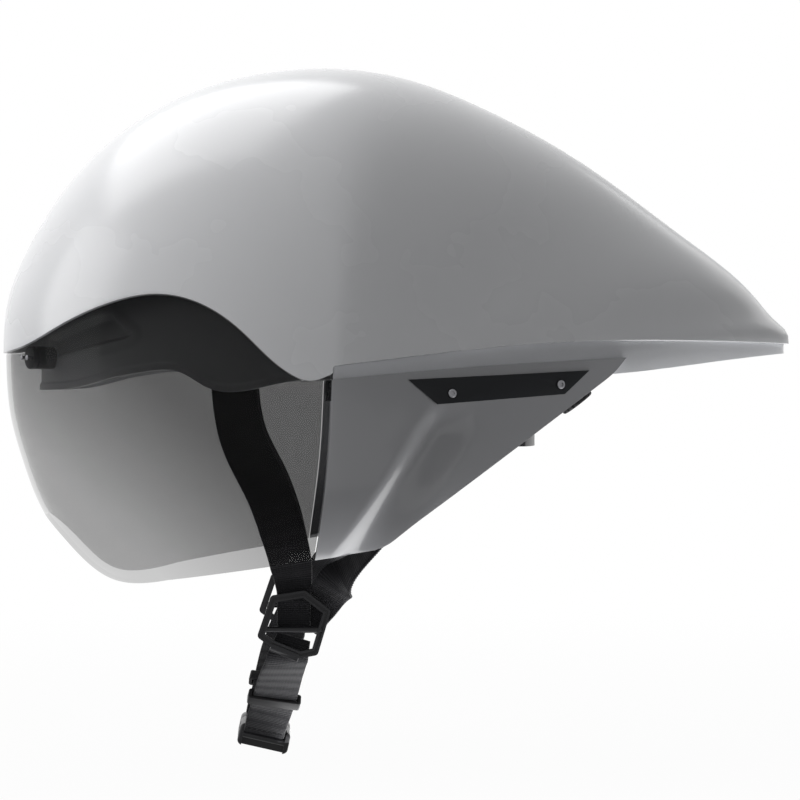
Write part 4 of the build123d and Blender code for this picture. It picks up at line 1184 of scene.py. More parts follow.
@dataclass
class Heads:
    """The round heads of a node's screws or rivets, set on a skin."""

    node: str
    name: str
    body: str
    skin: "Skin"
    rings: Sequence[Sequence[float]]
    finish: Finish
    socket: float = 11.0

    def build(self) -> bpy.types.Object:
        """Makes the heads in the places of the node's solids.

        Returns:
            The heads as one piece.
        """
        places = []
        for middle in solid_middles(self.node):
            centre, out = self.on_skin(middle)
            places.append(Place(tuple(centre), (1.0, 0.0, 0.0), tuple(out)))
        piece = lathed(f"{self.name}_head", self.rings, self.finish, socket=self.socket)
        made = Repeater(self.name, self.finish).build(piece, places)
        return settle(made, self.body, self.finish.name, self.node)

    def on_skin(self, middle: np.ndarray) -> tuple[np.ndarray, np.ndarray]:
        """The place on the skin straight out from a point, and the way out there.

        Args:
            middle: The point in millimetres.

        Returns:
            The place, and the direction away from the skin.
        """
        place = np.array(middle, float)
        side = 1.0 if place[1] > 0 else -1.0
        out = np.array([0.0, side, 0.0])
        for _ in range(8):
            x, z = place[0], place[2]
            here = float(self.skin.y_at(x, z))
            slope_x = float(self.skin.y_at(x + 0.5, z)) - here
            slope_z = float(self.skin.y_at(x, z + 0.5)) - here
            out = np.array([-2 * slope_x, side, -2 * slope_z])
            out /= np.linalg.norm(out)
            place = place + out * (here - abs(place[1])) * abs(out[1])
        return place, out


# Skins


@dataclass
class NosePatch:
    """A piece of the nose half, between two side-view lines and a rear edge."""

    skin: Skin
    low: Run
    high: Run
    rear: Run
    columns: int = 201
    rows: int = 49
    bottom: float = -100.0
    top: float = 42.0
    depth: Optional[Callable[[np.ndarray, np.ndarray], np.ndarray]] = None

    def rear_turn(self, z: np.ndarray) -> np.ndarray:
        """The turn round the head at the rear edge."""
        t = self.skin.t_at(self.rear(z), z)
        return np.arcsin(np.clip(t, 0, 1) ** 1.1)

    def place(self, c: np.ndarray, z: np.ndarray) -> tuple[np.ndarray, np.ndarray]:
        """X and Y at a share of the way round and a height.

        Args:
            c: From -1 at the left rear edge over the middle to 1.
            z: The heights.

        Returns:
            X and Y.
        """
        turn = np.abs(c) * self.rear_turn(z)
        t = np.sin(turn) ** (1 / 1.1)
        return self.skin.x_at(t, z, True), np.sign(c) * t * self.skin.half_width

    def points(self) -> np.ndarray:
        """The grid's points.

        Returns:
            The points, one row of the grid after another from the lower line up.
        """
        c = np.linspace(-1, 1, self.columns)
        floor = np.full(c.shape, self.bottom)
        roof = np.full(c.shape, self.top)
        start = solve(lambda z: z > self.low(self.place(c, z)[0]), floor, roof)
        end = solve(lambda z: z > self.high(self.place(c, z)[0]), floor, roof)
        rows = []
        for r in np.linspace(0, 1, self.rows):
            z = start + r * (end - start)
            x, y = self.place(c, z)
            rows.append(np.stack([x, y, z], axis=1))
        grid = np.stack(rows)
        if self.depth is not None:
            grid = pressed(grid, self.depth(grid[..., 0], grid[..., 2]))
        return grid

    def build(self, name: str, finish: Finish) -> bpy.types.Object:
        """The skin's grid as an object.

        Args:
            name: Its name.
            finish: Its finish.

        Returns:
            The object.
        """
        faces = grid_faces(self.rows, self.columns, flip=True)
        return new_object(name, self.points().reshape(-1, 3), faces, finish)


@dataclass
class OuterShell:
    """The white shell with its rounded lip."""

    wall: float = 2.0
    lip_round: float = 0.95
    columns: int = 241
    rows: int = 141
    ease_near: float = 25.0
    ease_far: float = 60.0
    ease_rounds: int = 60
    samples: int = 3001

    def build(self) -> bpy.types.Object:
        """Makes the shell.

        Returns:
            The piece.
        """
        skin = Skin(0.0)
        low, high = 0.9, 0.9999
        for _ in range(30):
            middle = (low + high) / 2
            reached = self.span(skin, np.array([middle]))[2][0]
            low, high = (middle, high) if reached else (low, middle)
        turn = np.radians(np.linspace(-90, 90, self.columns))
        t = np.sin(turn) * low
        start, end, _ = self.span(skin, t)
        rows = []
        for r in np.linspace(0, 1, self.rows):
            s = start + r * (end - start)
            x, z = skin.section(s, t)
            rows.append(np.stack([x, t * skin.half_width, z], axis=1))
        faces = grid_faces(self.rows, self.columns)
        grid = self.softened(np.stack(rows), np.abs(t))
        made = new_object("Shell", grid.reshape(-1, 3), faces, SHELL_WHITE)
        cleaned(made, 0.03)
        walled(made, self.wall, self.lip_round)
        return settle(made, "helmet", "shell_white", "outer_shell")

    def softened(self, grid: np.ndarray, t: np.ndarray) -> np.ndarray:
        """Eases the bend where the nose half meets the tail half.

        Args:
            grid: The shell's points, by row and column.
            t: The columns' shares of the half width.

        Returns:
            The eased points.
        """
        near = 1 - eased(np.abs(grid[1:-1, :, :1] - EGG.dome_x), self.ease_near,
                         self.ease_far)
        side = 0.35 + 0.65 * eased(t, 0.1, 0.5)
        share = 0.5 * near * side[None, :, None]
        for _ in range(self.ease_rounds):
            middle = (grid[:-2] + grid[2:]) / 2
            grid[1:-1] += share * (middle - grid[1:-1])
        return grid

    def span(self, skin: Skin, t: np.ndarray) -> tuple[np.ndarray, np.ndarray, np.ndarray]:
        """Where sections enter and leave the shell, above its lip and its seam.

        Args:
            skin: The shell's skin.
            t: The sections' shares of the half width.

        Returns:
            The first and the last place of each section, and whether it has any.
        """
        s = np.linspace(-1, 1, self.samples)[:, None] + 0 * t
        x, z = skin.section(s, t + 0 * s)
        spare = z - np.where(s < 0, LIP(x), SEAM(x))
        above = spare > 0
        first = above.argmax(axis=0)
        order = np.arange(self.samples)[:, None]
        last = (~above & (order > first)).argmax(axis=0)
        column = np.arange(len(t))
        ends = []
        for inner, outer in ((first, first - 1), (last - 1, last)):
            inside, outside = spare[inner, column], spare[outer, column]
            share = inside / np.maximum(inside - outside, 1e-9)
            step = s[outer, column] - s[inner, column]
            ends.append(s[inner, column] + np.clip(share, 0, 1) * step)
        return ends[0], ends[1], above.any(axis=0)


@dataclass
class Visor:
    """The smoke lens with its rivets and magnets."""

    inset: float = 1.2
    wall: float = 2.0
    gap: float = 0.5
    edge_round: float = 0.7
    rear_x: float = 12.1
    rear_sweep: float = 7.1
    rear_drop: float = 77.0
    corner_drop: float = 89.3
    low_shares: tuple = ((0.87, 0.678), (0.799, 0.797), (0.741, 0.896), (0.66, 0.985),
                         (0.60, 1.0), (0.48, 0.972))
    rivet_rings: tuple = ((0.75, -2.3, 0), (0.75, 0, 0), (1.2, 0, 0), (1.2, 0.2, 0),
                          (1.0, 0.42, 0), (0.5, 0.5, 0))

    def low_line(self) -> Run:
        """The lens's lower edge.

        Returns:
            The function from X to Z.
        """
        points = [(EGG.dome_x - a * EGG.nose, -b * self.corner_drop)
                  for a, b in self.low_shares]
        curve = smooth_points(points, 200)
        ends = np.array([[-200.0, points[0][1]], [self.rear_x - self.rear_sweep,
                                                  -self.rear_drop]])
        line = np.concatenate([ends[:1], curve, ends[1:]])
        return lambda x: np.interp(x, line[:, 0], line[:, 1])

    def rear_line(self) -> Run:
        """The lens's rear edge.

        Returns:
            The function from Z to X.
        """
        mid = (self.rear_x - self.rear_sweep * 0.25, -self.rear_drop * 0.45)
        curve = smooth_points([(self.rear_x - self.rear_sweep, -self.rear_drop), mid,
                               (self.rear_x, 0.5)], 120)
        return lambda z: np.interp(z, curve[:, 1], curve[:, 0])

    def build(self) -> bpy.types.Object:
        """Makes the lens and dresses what rides on it.

        Returns:
            The lens.
        """
        patch = NosePatch(Skin(self.inset, lower=True), self.low_line(),
                          lambda x: LIP(x) - self.gap, self.rear_line(), 241, 61)
        made = patch.build("Lens", LENS_SMOKE)
        cleaned(made)
        walled(made, self.wall, self.edge_round)
        settle(made, "visor", "lens_smoke", "visor_lens")
        node_copy("visor_magnets", "Lens_magnets", MAGNET_DARK, 0.4, "visor")
        Heads("visor_rivets", "Lens_rivets", "visor", Skin(self.inset, lower=True),
              self.rivet_rings, SCREW_STEEL).build()
        return made


@dataclass
class BrowFrame:
    """The dark frame inside the lip, with a scoop on each side and a raised lower band."""

    nose_inset: float = 17.0
    side_inset: float = 9.0
    wall: float = 2.4
    shelf: float = 4.6
    band: float = 3.0
    band_stand: float = 0.8
    scoop_depth: float = 2.6
    scoop_edge: float = 1.6
    facet_reach: float = 5.5
    facet_stand: float = 0.7
    edge_round: float = 0.5
    low_shares: tuple = ((1.0, -0.033), (0.842, -0.031), (0.752, -0.023), (0.645, 0.006),
                         (0.546, 0.024), (0.444, 0.023), (0.357, -0.026), (0.237, -0.030),
                         (0.13, -0.007), (-0.05, -0.002))
    scoop_shares: tuple = ((0.846, 0.069), (0.843, 0.129), (0.691, 0.189), (0.646, 0.197),
                           (0.588, 0.139), (0.601, 0.128), (0.717, 0.101))

    def relief(self, x: np.ndarray, z: np.ndarray) -> np.ndarray:
        """How deep the frame's face lies at a side-view point.

        Args:
            x: The X places.
            z: The heights.

        Returns:
            The depths in millimetres, below 0 where it stands proud.
        """
        low = height_run(nose_line(self.low_shares))
        inside = depth_inside(nose_line(self.scoop_shares), x, z)
        scoop = self.scoop_depth * eased(inside, -self.scoop_edge / 2, self.scoop_edge)
        facet = eased(inside, -self.facet_reach, -self.scoop_edge)
        facet *= 1 - eased(inside, -self.scoop_edge / 2, self.scoop_edge / 2)
        band = 1 - eased(z - low(x), self.band - 0.5, self.band + 0.5)
        return scoop - self.facet_stand * facet - self.band_stand * band

    def build(self) -> bpy.types.Object:
        """Makes the frame and dresses its magnets.

        Returns:
            The frame.
        """
        skin = Skin(self.side_inset, self.nose_inset)
        low = height_run(nose_line(self.low_shares))
        patch = NosePatch(skin, low, lambda x: LIP(x) + self.shelf,
                          lambda z: EGG.dome_x - 0.4 + 0 * z, 421, 71, depth=self.relief)
        made = patch.build("Brow_frame", FRAME_GREY)
        cleaned(made)
        walled(made, self.wall, self.edge_round, 2)
        settle(made, "helmet", "frame_grey", "brow_frame")
        node_copy("brow_magnets", "Brow_magnets", MAGNET_DARK, 0.4)
        return made


@dataclass
class SideShield:
    """One grey side shield with its pressed fold, its plate and two screws."""

    side: Side
    stand: float = 0.5
    wall: float = 2.6
    front_x: float = 12.6
    length: float = 129.6
    rise: float = 9.7
    drop: float = 76.6
    fold_depth: float = 4.2
    fold_front: float = 9.0
    fold_rear: float = 17.0
    fold_fade: float = 0.22
    edge_round: float = 0.8
    columns: int = 131
    rows: int = 61
    top_shares: tuple = ((0, 0), (0.45, 0.55), (1.0, 1.0))
    low_shares: tuple = ((1.0, -0.127), (0.955, -0.035), (0.27, 0.80), (0.17, 0.938),
                         (-0.055, 1.0))
    fold_shares: tuple = ((0.405, 0.10), (0.25, 0.52), (0.085, 0.955))
    plate_stand: float = 1.2
    screw_rings: tuple = ((0.6, -9.9, 0), (1.0, -9.4, 0), (1.0, 0, 0), (1.9, 0, 0),
                          (1.9, 0.35, 0), (1.75, 0.62, 0), (1.35, 0.8, 0), (1.0, 0.82, 0),
                          (0.92, 0.76, 1), (0.9, 0.1, 1), (0.3, 0.02, 1))

    def low_line(self) -> np.ndarray:
        """The lower edge with its corners rounded.

        Returns:
            The side-view points, with X rising.
        """
        corners = np.array([(self.front_x + a * self.length, -b * self.drop)
                            for a, b in self.low_shares])[::-1]
        points = [corners[0]]
        for before, corner, after in zip(corners, corners[1:], corners[2:]):
            a = corner + (before - corner) * min(0.4, 6.0 / np.linalg.norm(before - corner))
            b = corner + (after - corner) * min(0.4, 6.0 / np.linalg.norm(after - corner))
            for s in np.linspace(0, 1, 9):
                points.append((1 - s) ** 2 * a + 2 * s * (1 - s) * corner + s**2 * b)
        points.append(corners[-1])
        return np.array(points)

    def fold_depth_at(self, x: np.ndarray, z: np.ndarray) -> np.ndarray:
        """How deep the fold presses the shield in at a side-view point.

        Args:
            x: The X places.
            z: The heights.

        Returns:
            The depths in millimetres.
        """
        a, b, c = [np.array([self.front_x + p * self.length, -q * self.drop])
                   for p, q in self.fold_shares]
        line = smooth_points([a + (a - b) * 0.12, a, b, c, c + (c - b) * 0.35], 120)
        gap = np.full(x.shape, 1e9)
        along = np.zeros(x.shape)
        behind = np.zeros(x.shape, bool)
        for i, (u, w) in enumerate(line):
            far = np.hypot(x - u, z - w)
            nearer = far < gap
            along = np.where(nearer, i / (len(line) - 1), along)
            behind = np.where(nearer, x > u, behind)
            gap = np.minimum(gap, far)
        strength = eased(along, 0.0, self.fold_fade)
        half = np.where(behind, self.fold_rear, self.fold_front)
        profile = 1 - eased(gap / half, 0.0, 1.0)
        return self.fold_depth * profile * strength

    def build(self) -> bpy.types.Object:
        """Makes the shield and dresses its plate and screws.

        Returns:
            The shield.
        """
        skin = Skin(-self.stand, lower=True)
        low = self.low_line()
        top = smooth_points([(self.front_x + a * self.length, b * self.rise)
                             for a, b in self.top_shares], 120)
        rear = Visor().rear_line()
        tip = self.front_x + self.length
        c = np.linspace(0, 1, self.columns) ** 1.15
        points = []
        start = np.full(c.shape, -70.0)
        end = np.zeros(c.shape)
        for _ in range(30):
            start = np.interp(self.x_of(c, start, rear, tip), low[:, 0], low[:, 1])
            end = np.interp(self.x_of(c, end, rear, tip), top[:, 0], top[:, 1])
        for r in np.linspace(0, 1, self.rows):
            z = start + r * (end - start)
            x = self.x_of(c, z, rear, tip)
            y = skin.y_at(x, z) - self.fold_depth_at(x, z)
            points.append(np.stack([x, self.side.value * y, z], axis=1))
        faces = grid_faces(self.rows, self.columns, flip=self.side is Side.RIGHT)
        made = new_object(f"Shield_{self.side.word}", np.concatenate(points), faces,
                          SHIELD_GREY)
        cleaned(made)
        walled(made, self.wall, self.edge_round)
        settle(made, "helmet", "shield_grey", f"side_shield_{self.side.word}")
        node_copy(f"shield_plate_{self.side.word}", f"Plate_{self.side.word}", PLATE_BLACK, 0.3)
        Heads(f"shield_screws_{self.side.word}", f"Screws_{self.side.word}", "helmet",
              Skin(-self.plate_stand, lower=True), self.screw_rings, SCREW_STEEL).build()
        dress(f"screw_sockets_{self.side.word}", SOCKET_BRASS)
        return made

    def x_of(self, c: np.ndarray, z: np.ndarray, rear: Run, tip: float) -> np.ndarray:
        """X at a share of the way from the front edge to the tip.

        Args:
            c: The shares.
            z: The heights.
            rear: The lens's rear edge.
            tip: The shield's rearmost X.

        Returns:
            The X places.
        """
        front = rear(z) + 0.5
        return front + c * (tip - front)


# Straps


@dataclass
class Strap:
    """One stretch of webbing through stations, with rounded edges."""

    name: str
    node: str
    body: str
    stations: Sequence[tuple]
    reach: float
    side: Side
    first: float = 0.0
    last: float = 1.0
    led_by: Optional[str] = None
    width: float = 19.5
    wall: float = 1.5
    start_x: float = -3.2
    half_width: float = EGG.half_width
    drop: float = 157.5
    count: int = 90
    rib_pitch: float = 1.05
    rib_length: float = 0.72
    rib_reach: float = 0.985
    rib_stand: float = 0.10
    stitch_row: int = 12
    stitch_count: int = 7
    stitch_length: float = 1.6
    stitch_wide: float = 0.45
    stitch_stand: float = 0.26

    def build(self) -> bpy.types.Object:
        """Makes the strap along its stations.

        Returns:
            The piece.
        """
        sign = self.side.value
        rows = []
        for a, b, c, lean, twist, width in self.stations:
            centre = (self.start_x + a * self.reach, sign * b * self.half_width, c * self.drop)
            across = (cos(radians(lean)) * cos(radians(twist)), sign * sin(radians(twist)),
                      sin(radians(lean)) * cos(radians(twist)))
            rows.append((*centre, *across, width * self.width))
        known = np.array(rows)
        steps = np.linalg.norm(np.diff(known[:, :3], axis=0), axis=1)
        u = np.concatenate([[0.0], np.cumsum(steps)]) / steps.sum()
        curve = smooth_points(known[:, :3], self.count * 4)
        line_u = np.linspace(0, 1, len(curve))
        low, high = (u[int(self.first)], u[int(self.last)] if self.last > 1 else 1.0)
        at = np.linspace(low, high, self.count)
        centres = np.stack([np.interp(at, line_u, curve[:, k]) for k in range(3)], axis=1)
        across = np.stack([np.interp(at, u, known[:, 3 + k]) for k in range(3)], axis=1)
        widths = np.interp(at, u, known[:, 6])
        along = np.gradient(centres, axis=0)
        along /= np.linalg.norm(along, axis=1)[:, None]
        across -= along * (across * along).sum(1)[:, None]
        across /= np.linalg.norm(across, axis=1)[:, None]
        thick = np.cross(along, across)
        ring = self.ring()
        points = []
        for i in range(self.count):
            half = widths[i] / 2
            for a, b in ring:
                points.append(centres[i] + across[i] * a * half + thick[i] * b * self.wall / 2)
        n = len(ring)
        faces = grid_faces(self.count, n, closed=True)
        faces.append(tuple(range(n)))
        faces.append(tuple(range((self.count - 1) * n, self.count * n))[::-1])
        made = new_object(self.name, np.array(points), faces, WEBBING_BLACK)
        self.lay_uv(made, n, centres, ring)
        work = bmesh.new()
        work.from_mesh(made.data)
        bmesh.ops.recalc_face_normals(work, faces=work.faces)
        work.to_mesh(made.data)
        work.free()
        smooth(made.data, 60.0)
        merged(made, self.add_ribs(centres, across, thick, widths),
               self.add_stitches(centres, across, thick, widths))
        bend = None
        if self.led_by:
            bend = Bend(self.led_by, tuple(centres[0] * MM), tuple(centres[-1] * MM))
        return settle(made, self.body, "webbing_black", self.node, bend=bend)

    def add_ribs(self, centres: np.ndarray, across: np.ndarray, thick: np.ndarray,
                 widths: np.ndarray) -> bpy.types.Object:
        """The cross ribs of the weave, all along the strap.

        Args:
            centres: The stations' centres.
            across: The directions over the strap's width.
            thick: The directions through it.
            widths: The strap's widths.

        Returns:
            The ribs as one object.
        """
        far = np.concatenate([[0.0], np.cumsum(np.linalg.norm(np.diff(centres, axis=0),
                                                              axis=1))])
        places = []
        for at in np.arange(self.rib_pitch, far[-1] - self.rib_pitch / 2, self.rib_pitch):
            centre, over, out = [np.array([np.interp(at, far, run[:, k]) for k in range(3)])
                                 for run in (centres, across, thick)]
            width = float(np.interp(at, far, widths)) * self.rib_reach
            size = (width * MM, self.rib_length * MM, (self.wall + 2 * self.rib_stand) * MM)
            places.append(Place(tuple(centre), tuple(over), tuple(out), size))
        name = f"{self.name}_ribs"
        return Repeater(name, WEBBING_BLACK).build(bar(f"{name}_bar", WEBBING_BLACK), places)

    def add_stitches(self, centres: np.ndarray, across: np.ndarray, thick: np.ndarray,
                     widths: np.ndarray) -> bpy.types.Object:
        """Two rows of stitches over the strap beside its lower end.

        Args:
            centres: The stations' centres.
            across: The directions over the strap's width.
            thick: The directions through it.
            widths: The strap's widths.

        Returns:
            The stitches as one object.
        """
        places = []
        for row in (-self.stitch_row, -self.stitch_row - 3):
            for share in np.linspace(-0.38, 0.38, self.stitch_count):
                centre = centres[row] + across[row] * widths[row] * share
                size = (self.stitch_length * MM, self.stitch_wide * MM,
                        (self.wall + 2 * self.stitch_stand) * MM)
                places.append(Place(tuple(centre), tuple(across[row]), tuple(thick[row]),
                                    size))
        name = f"{self.name}_stitches"
        return Repeater(name, WEBBING_BLACK, 0.06).build(bar(f"{name}_bar", WEBBING_BLACK),
                                                         places)

    def ring(self) -> list[tuple[float, float]]:
        """The strap's section.

        Returns:
            Its points, in shares of the half width and half wall.
        """
        flat = np.linspace(-0.93, 0.93, 13)
        upper = [(a, 1.0) for a in flat]
        right = [(0.975, 0.72), (1.0, 0.0), (0.975, -0.72)]
        lower = [(a, -1.0) for a in flat[::-1]]
        left = [(-0.975, -0.72), (-1.0, 0.0), (-0.975, 0.72)]
        return upper + right + lower + left

    def lay_uv(self, made: bpy.types.Object, n: int, centres: np.ndarray,
               ring: Sequence[tuple[float, float]]) -> None:
        """Lays the UV map: millimetres along the strap and a share across it.

        Args:
            made: The strap.
            n: The points of each ring.
            centres: The stations' centres.
            ring: The ring's points.
        """
        steps = np.linalg.norm(np.diff(centres, axis=0), axis=1)
        far = np.concatenate([[0.0], np.cumsum(steps)])
        layer = made.data.uv_layers.new(name="strap")
        for loop in made.data.loops:
            row, column = divmod(loop.vertex_index, n)
            layer.data[loop.index].uv = (far[row], ring[column][0] * 0.5 + 0.5)


@dataclass
class Harness:
    """The straps, dividers, keepers and anchors of one side."""

    side: Side
    lead: float = 28.0
    trail: float = 62.0
    front: tuple = ((0.93, 0.752, 0.030, 6, 0, 1.0), (0.90, 0.758, -0.045, 10, 0, 1.0),
                    (0.76, 0.765, -0.17, 18, 0, 1.0), (0.42, 0.765, -0.295, 21, 0, 1.0),
                    (0.18, 0.735, -0.41, 18, 0, 1.0), (0.04, 0.692, -0.51, 12, 0, 0.93),
                    (0.0, 0.667, -0.58, 9, 0, 0.76), (0.0, 0.665, -0.63, 9, 0, 0.74),
                    (0.0, 0.665, -0.685, 9, 0, 0.74))
    rear: tuple = ((0.76, 0.775, 0.03, 8, 0, 1.0), (0.78, 0.785, -0.07, 14, 4, 1.0),
                   (0.74, 0.785, -0.25, 26, 22, 1.0), (0.56, 0.77, -0.43, 38, 38, 1.0),
                   (0.33, 0.72, -0.54, 38, 34, 0.96), (0.17, 0.640, -0.625, 34, 16, 0.80),
                   (0.08, 0.636, -0.68, 30, 4, 0.72))
    chin: tuple = ((0.0, 0.665, -0.703, 9, 0, 0.76), (-0.05, 0.663, -0.733, 9, 0, 0.84),
                   (-0.10, 0.652, -0.763, 9, 0, 0.94), (-0.17, 0.59, -0.80, 6, 0, 1.0),
                   (-0.26, 0.45, -0.862, 0, 0, 1.0), (-0.305, 0.392, -0.894, -4, 0, 0.98),
                   (-0.35, 0.335, -0.925, -8, 0, 0.97), (-0.43, 0.268, -0.973, -13, 0, 0.95),
                   (-0.468, 0.232, -1.003, -13, 0, 0.93))
    split: int = 6

    def build(self) -> None:
        """Makes the side's straps and dresses its hardware."""
        word = self.side.word
        Strap(f"Front_strap_{word}", f"front_strap_{word}", "helmet", self.front, -self.lead,
              self.side).build()
        Strap(f"Rear_strap_{word}", f"rear_strap_{word}", "helmet", self.rear, self.trail,
              self.side).build()
        Strap(f"Chin_strap_{word}", f"chin_strap_{word}", "helmet", self.chin, self.lead,
              self.side, 0, self.split).build()
        Strap(f"Chin_strap_end_{word}", f"chin_strap_end_{word}", "helmet", self.chin,
              self.lead, self.side, self.split,
              led_by="buckle_plug" if self.side is Side.RIGHT else None).build()
        node_copy(f"strap_divider_{word}", f"Divider_{word}", TRIM_BLACK, 0.35)
        node_copy(f"strap_keeper_{word}", f"Keeper_{word}", RUBBER_BLACK, 0.3)
        dress(f"strap_anchors_{word}", TRIM_BLACK)


# Hard pieces that follow their solids


@dataclass
class HardPieces:
    """Pieces that are their solids with rounded edges and a finish."""

    rounded: tuple = (("tail_belly_panel", "Belly_panel", BELLY_SILVER, 0.35, "helmet"),
                      ("buckle_female", "Buckle_socket", TRIM_BLACK, 0.3, "helmet"),
                      ("buckle_male", "Buckle_plug", TRIM_BLACK, 0.3, "buckle_plug"),
                      ("buckle_prongs", "Buckle_prongs", TRIM_BLACK, 0.2, "buckle_plug"),
                      ("cradle_yoke", "Yoke", TRIM_BLACK, 0.5, "cradle"),
                      ("fit_dial", "Dial", RUBBER_BLACK, 0.15, "dial"),
                      ("fit_belt_left", "Belt_left", TRIM_BLACK, 0.25, "belt_left"),
                      ("fit_belt_right", "Belt_right", TRIM_BLACK, 0.25, "belt_right"))
    plain: tuple = (("foam_liner", FOAM_BLACK), ("retention_track", TRIM_BLACK),
                    ("band_pin_left", TRIM_BLACK), ("band_pin_right", TRIM_BLACK))

    def build(self) -> None:
        """Makes and dresses them all."""
        for node, name, finish, edge, body in self.rounded:
            node_copy(node, name, finish, edge, body)
        for node, finish in self.plain:
            dress(node, finish)


@dataclass
class SoftPads:
    """The comfort pads, puffed by cloth simulation."""

    voxel: float = 3.0
    shrink: float = 0.9
    cap: float = 1.6
    frames: int = 16
    pressure: float = 4.0
    pads: tuple = (("brow_pad", "Brow_pad", "helmet"), ("crown_pad", "Crown_pad", "helmet"),
                   ("side_pad_left", "Side_pad_left", "helmet"),
                   ("side_pad_right", "Side_pad_right", "helmet"),
                   ("cradle_pads", "Cradle_pads", "cradle"))

    def build(self) -> None:
        """Makes every pad."""
        for node, name, body in self.pads:
            made = self.blank(node, name)
            self.puff(made)
            round_off = made.modifiers.new("round", "SUBSURF")
            round_off.levels = 1
            round_off.render_levels = 1
            baked(made, 180.0)
            settle(made, body, "pad_fabric", node)

    def blank(self, node: str, name: str) -> bpy.types.Object:
        """The pad's starting shape: its solid, drawn in and remeshed.

        Args:
            node: The solid's name.
            name: The piece's name.

        Returns:
            The object.
        """
        made = bpy.data.objects.new(name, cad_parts[node].data.copy())
        bpy.context.scene.collection.objects.link(made)
        made.data.materials.clear()
        made.data.materials.append(PAD_FABRIC.build())
        cleaned(made, 0.01)
        even = made.modifiers.new("even", "REMESH")
        even.mode = "VOXEL"
        even.voxel_size = self.voxel * 0.5 * MM
        ease = made.modifiers.new("ease", "SMOOTH")
        ease.iterations = 4
        thin = made.modifiers.new("thin", "DISPLACE")
        thin.strength = -self.shrink * MM
        thin.mid_level = 0.0
        again = made.modifiers.new("again", "REMESH")
        again.mode = "VOXEL"
        again.voxel_size = self.voxel * 0.6 * MM
        return baked(made, 180.0)

    def puff(self, made: bpy.types.Object) -> None:
        """Blows the pad up a little with cloth and applies the result.

        Args:
            made: The pad.
        """
        start = np.array([v.co for v in made.data.vertices])
        cloth = made.modifiers.new("cloth", "CLOTH")
        cloth.settings.use_pressure = True
        cloth.settings.uniform_pressure_force = self.pressure
        cloth.settings.effector_weights.gravity = 0.0
        cloth.settings.quality = 4
        scene = bpy.context.scene
        for number in range(1, self.frames + 1):
            scene.frame_set(number)
        graph = bpy.context.evaluated_depsgraph_get()
        swollen = made.evaluated_get(graph).data
        end = np.array([v.co for v in swollen.vertices])
        made.modifiers.clear()
        scene.frame_set(1)
        move = end - start
        far = np.linalg.norm(move, axis=1)
        share = np.minimum(1.0, self.cap * MM / np.maximum(far, 1e-9))
        made.data.vertices.foreach_set("co", (start + move * share[:, None]).ravel())
        made.data.update()


@dataclass
class SideBands:
    """The springy bands between the belts and the temples."""

    def build(self) -> None:
        """Makes both bands."""
        for side in Side:
            node = f"side_band_{side.word}"
            low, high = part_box(node)
            middle = (low + high) / 2
            node_copy(node, f"Side_band_{side.word}", TRIM_BLACK, 0.25,
                      bend=Bend("cradle", (low.x, middle.y, middle.z),
                                (high.x, middle.y, middle.z)))


# Studio


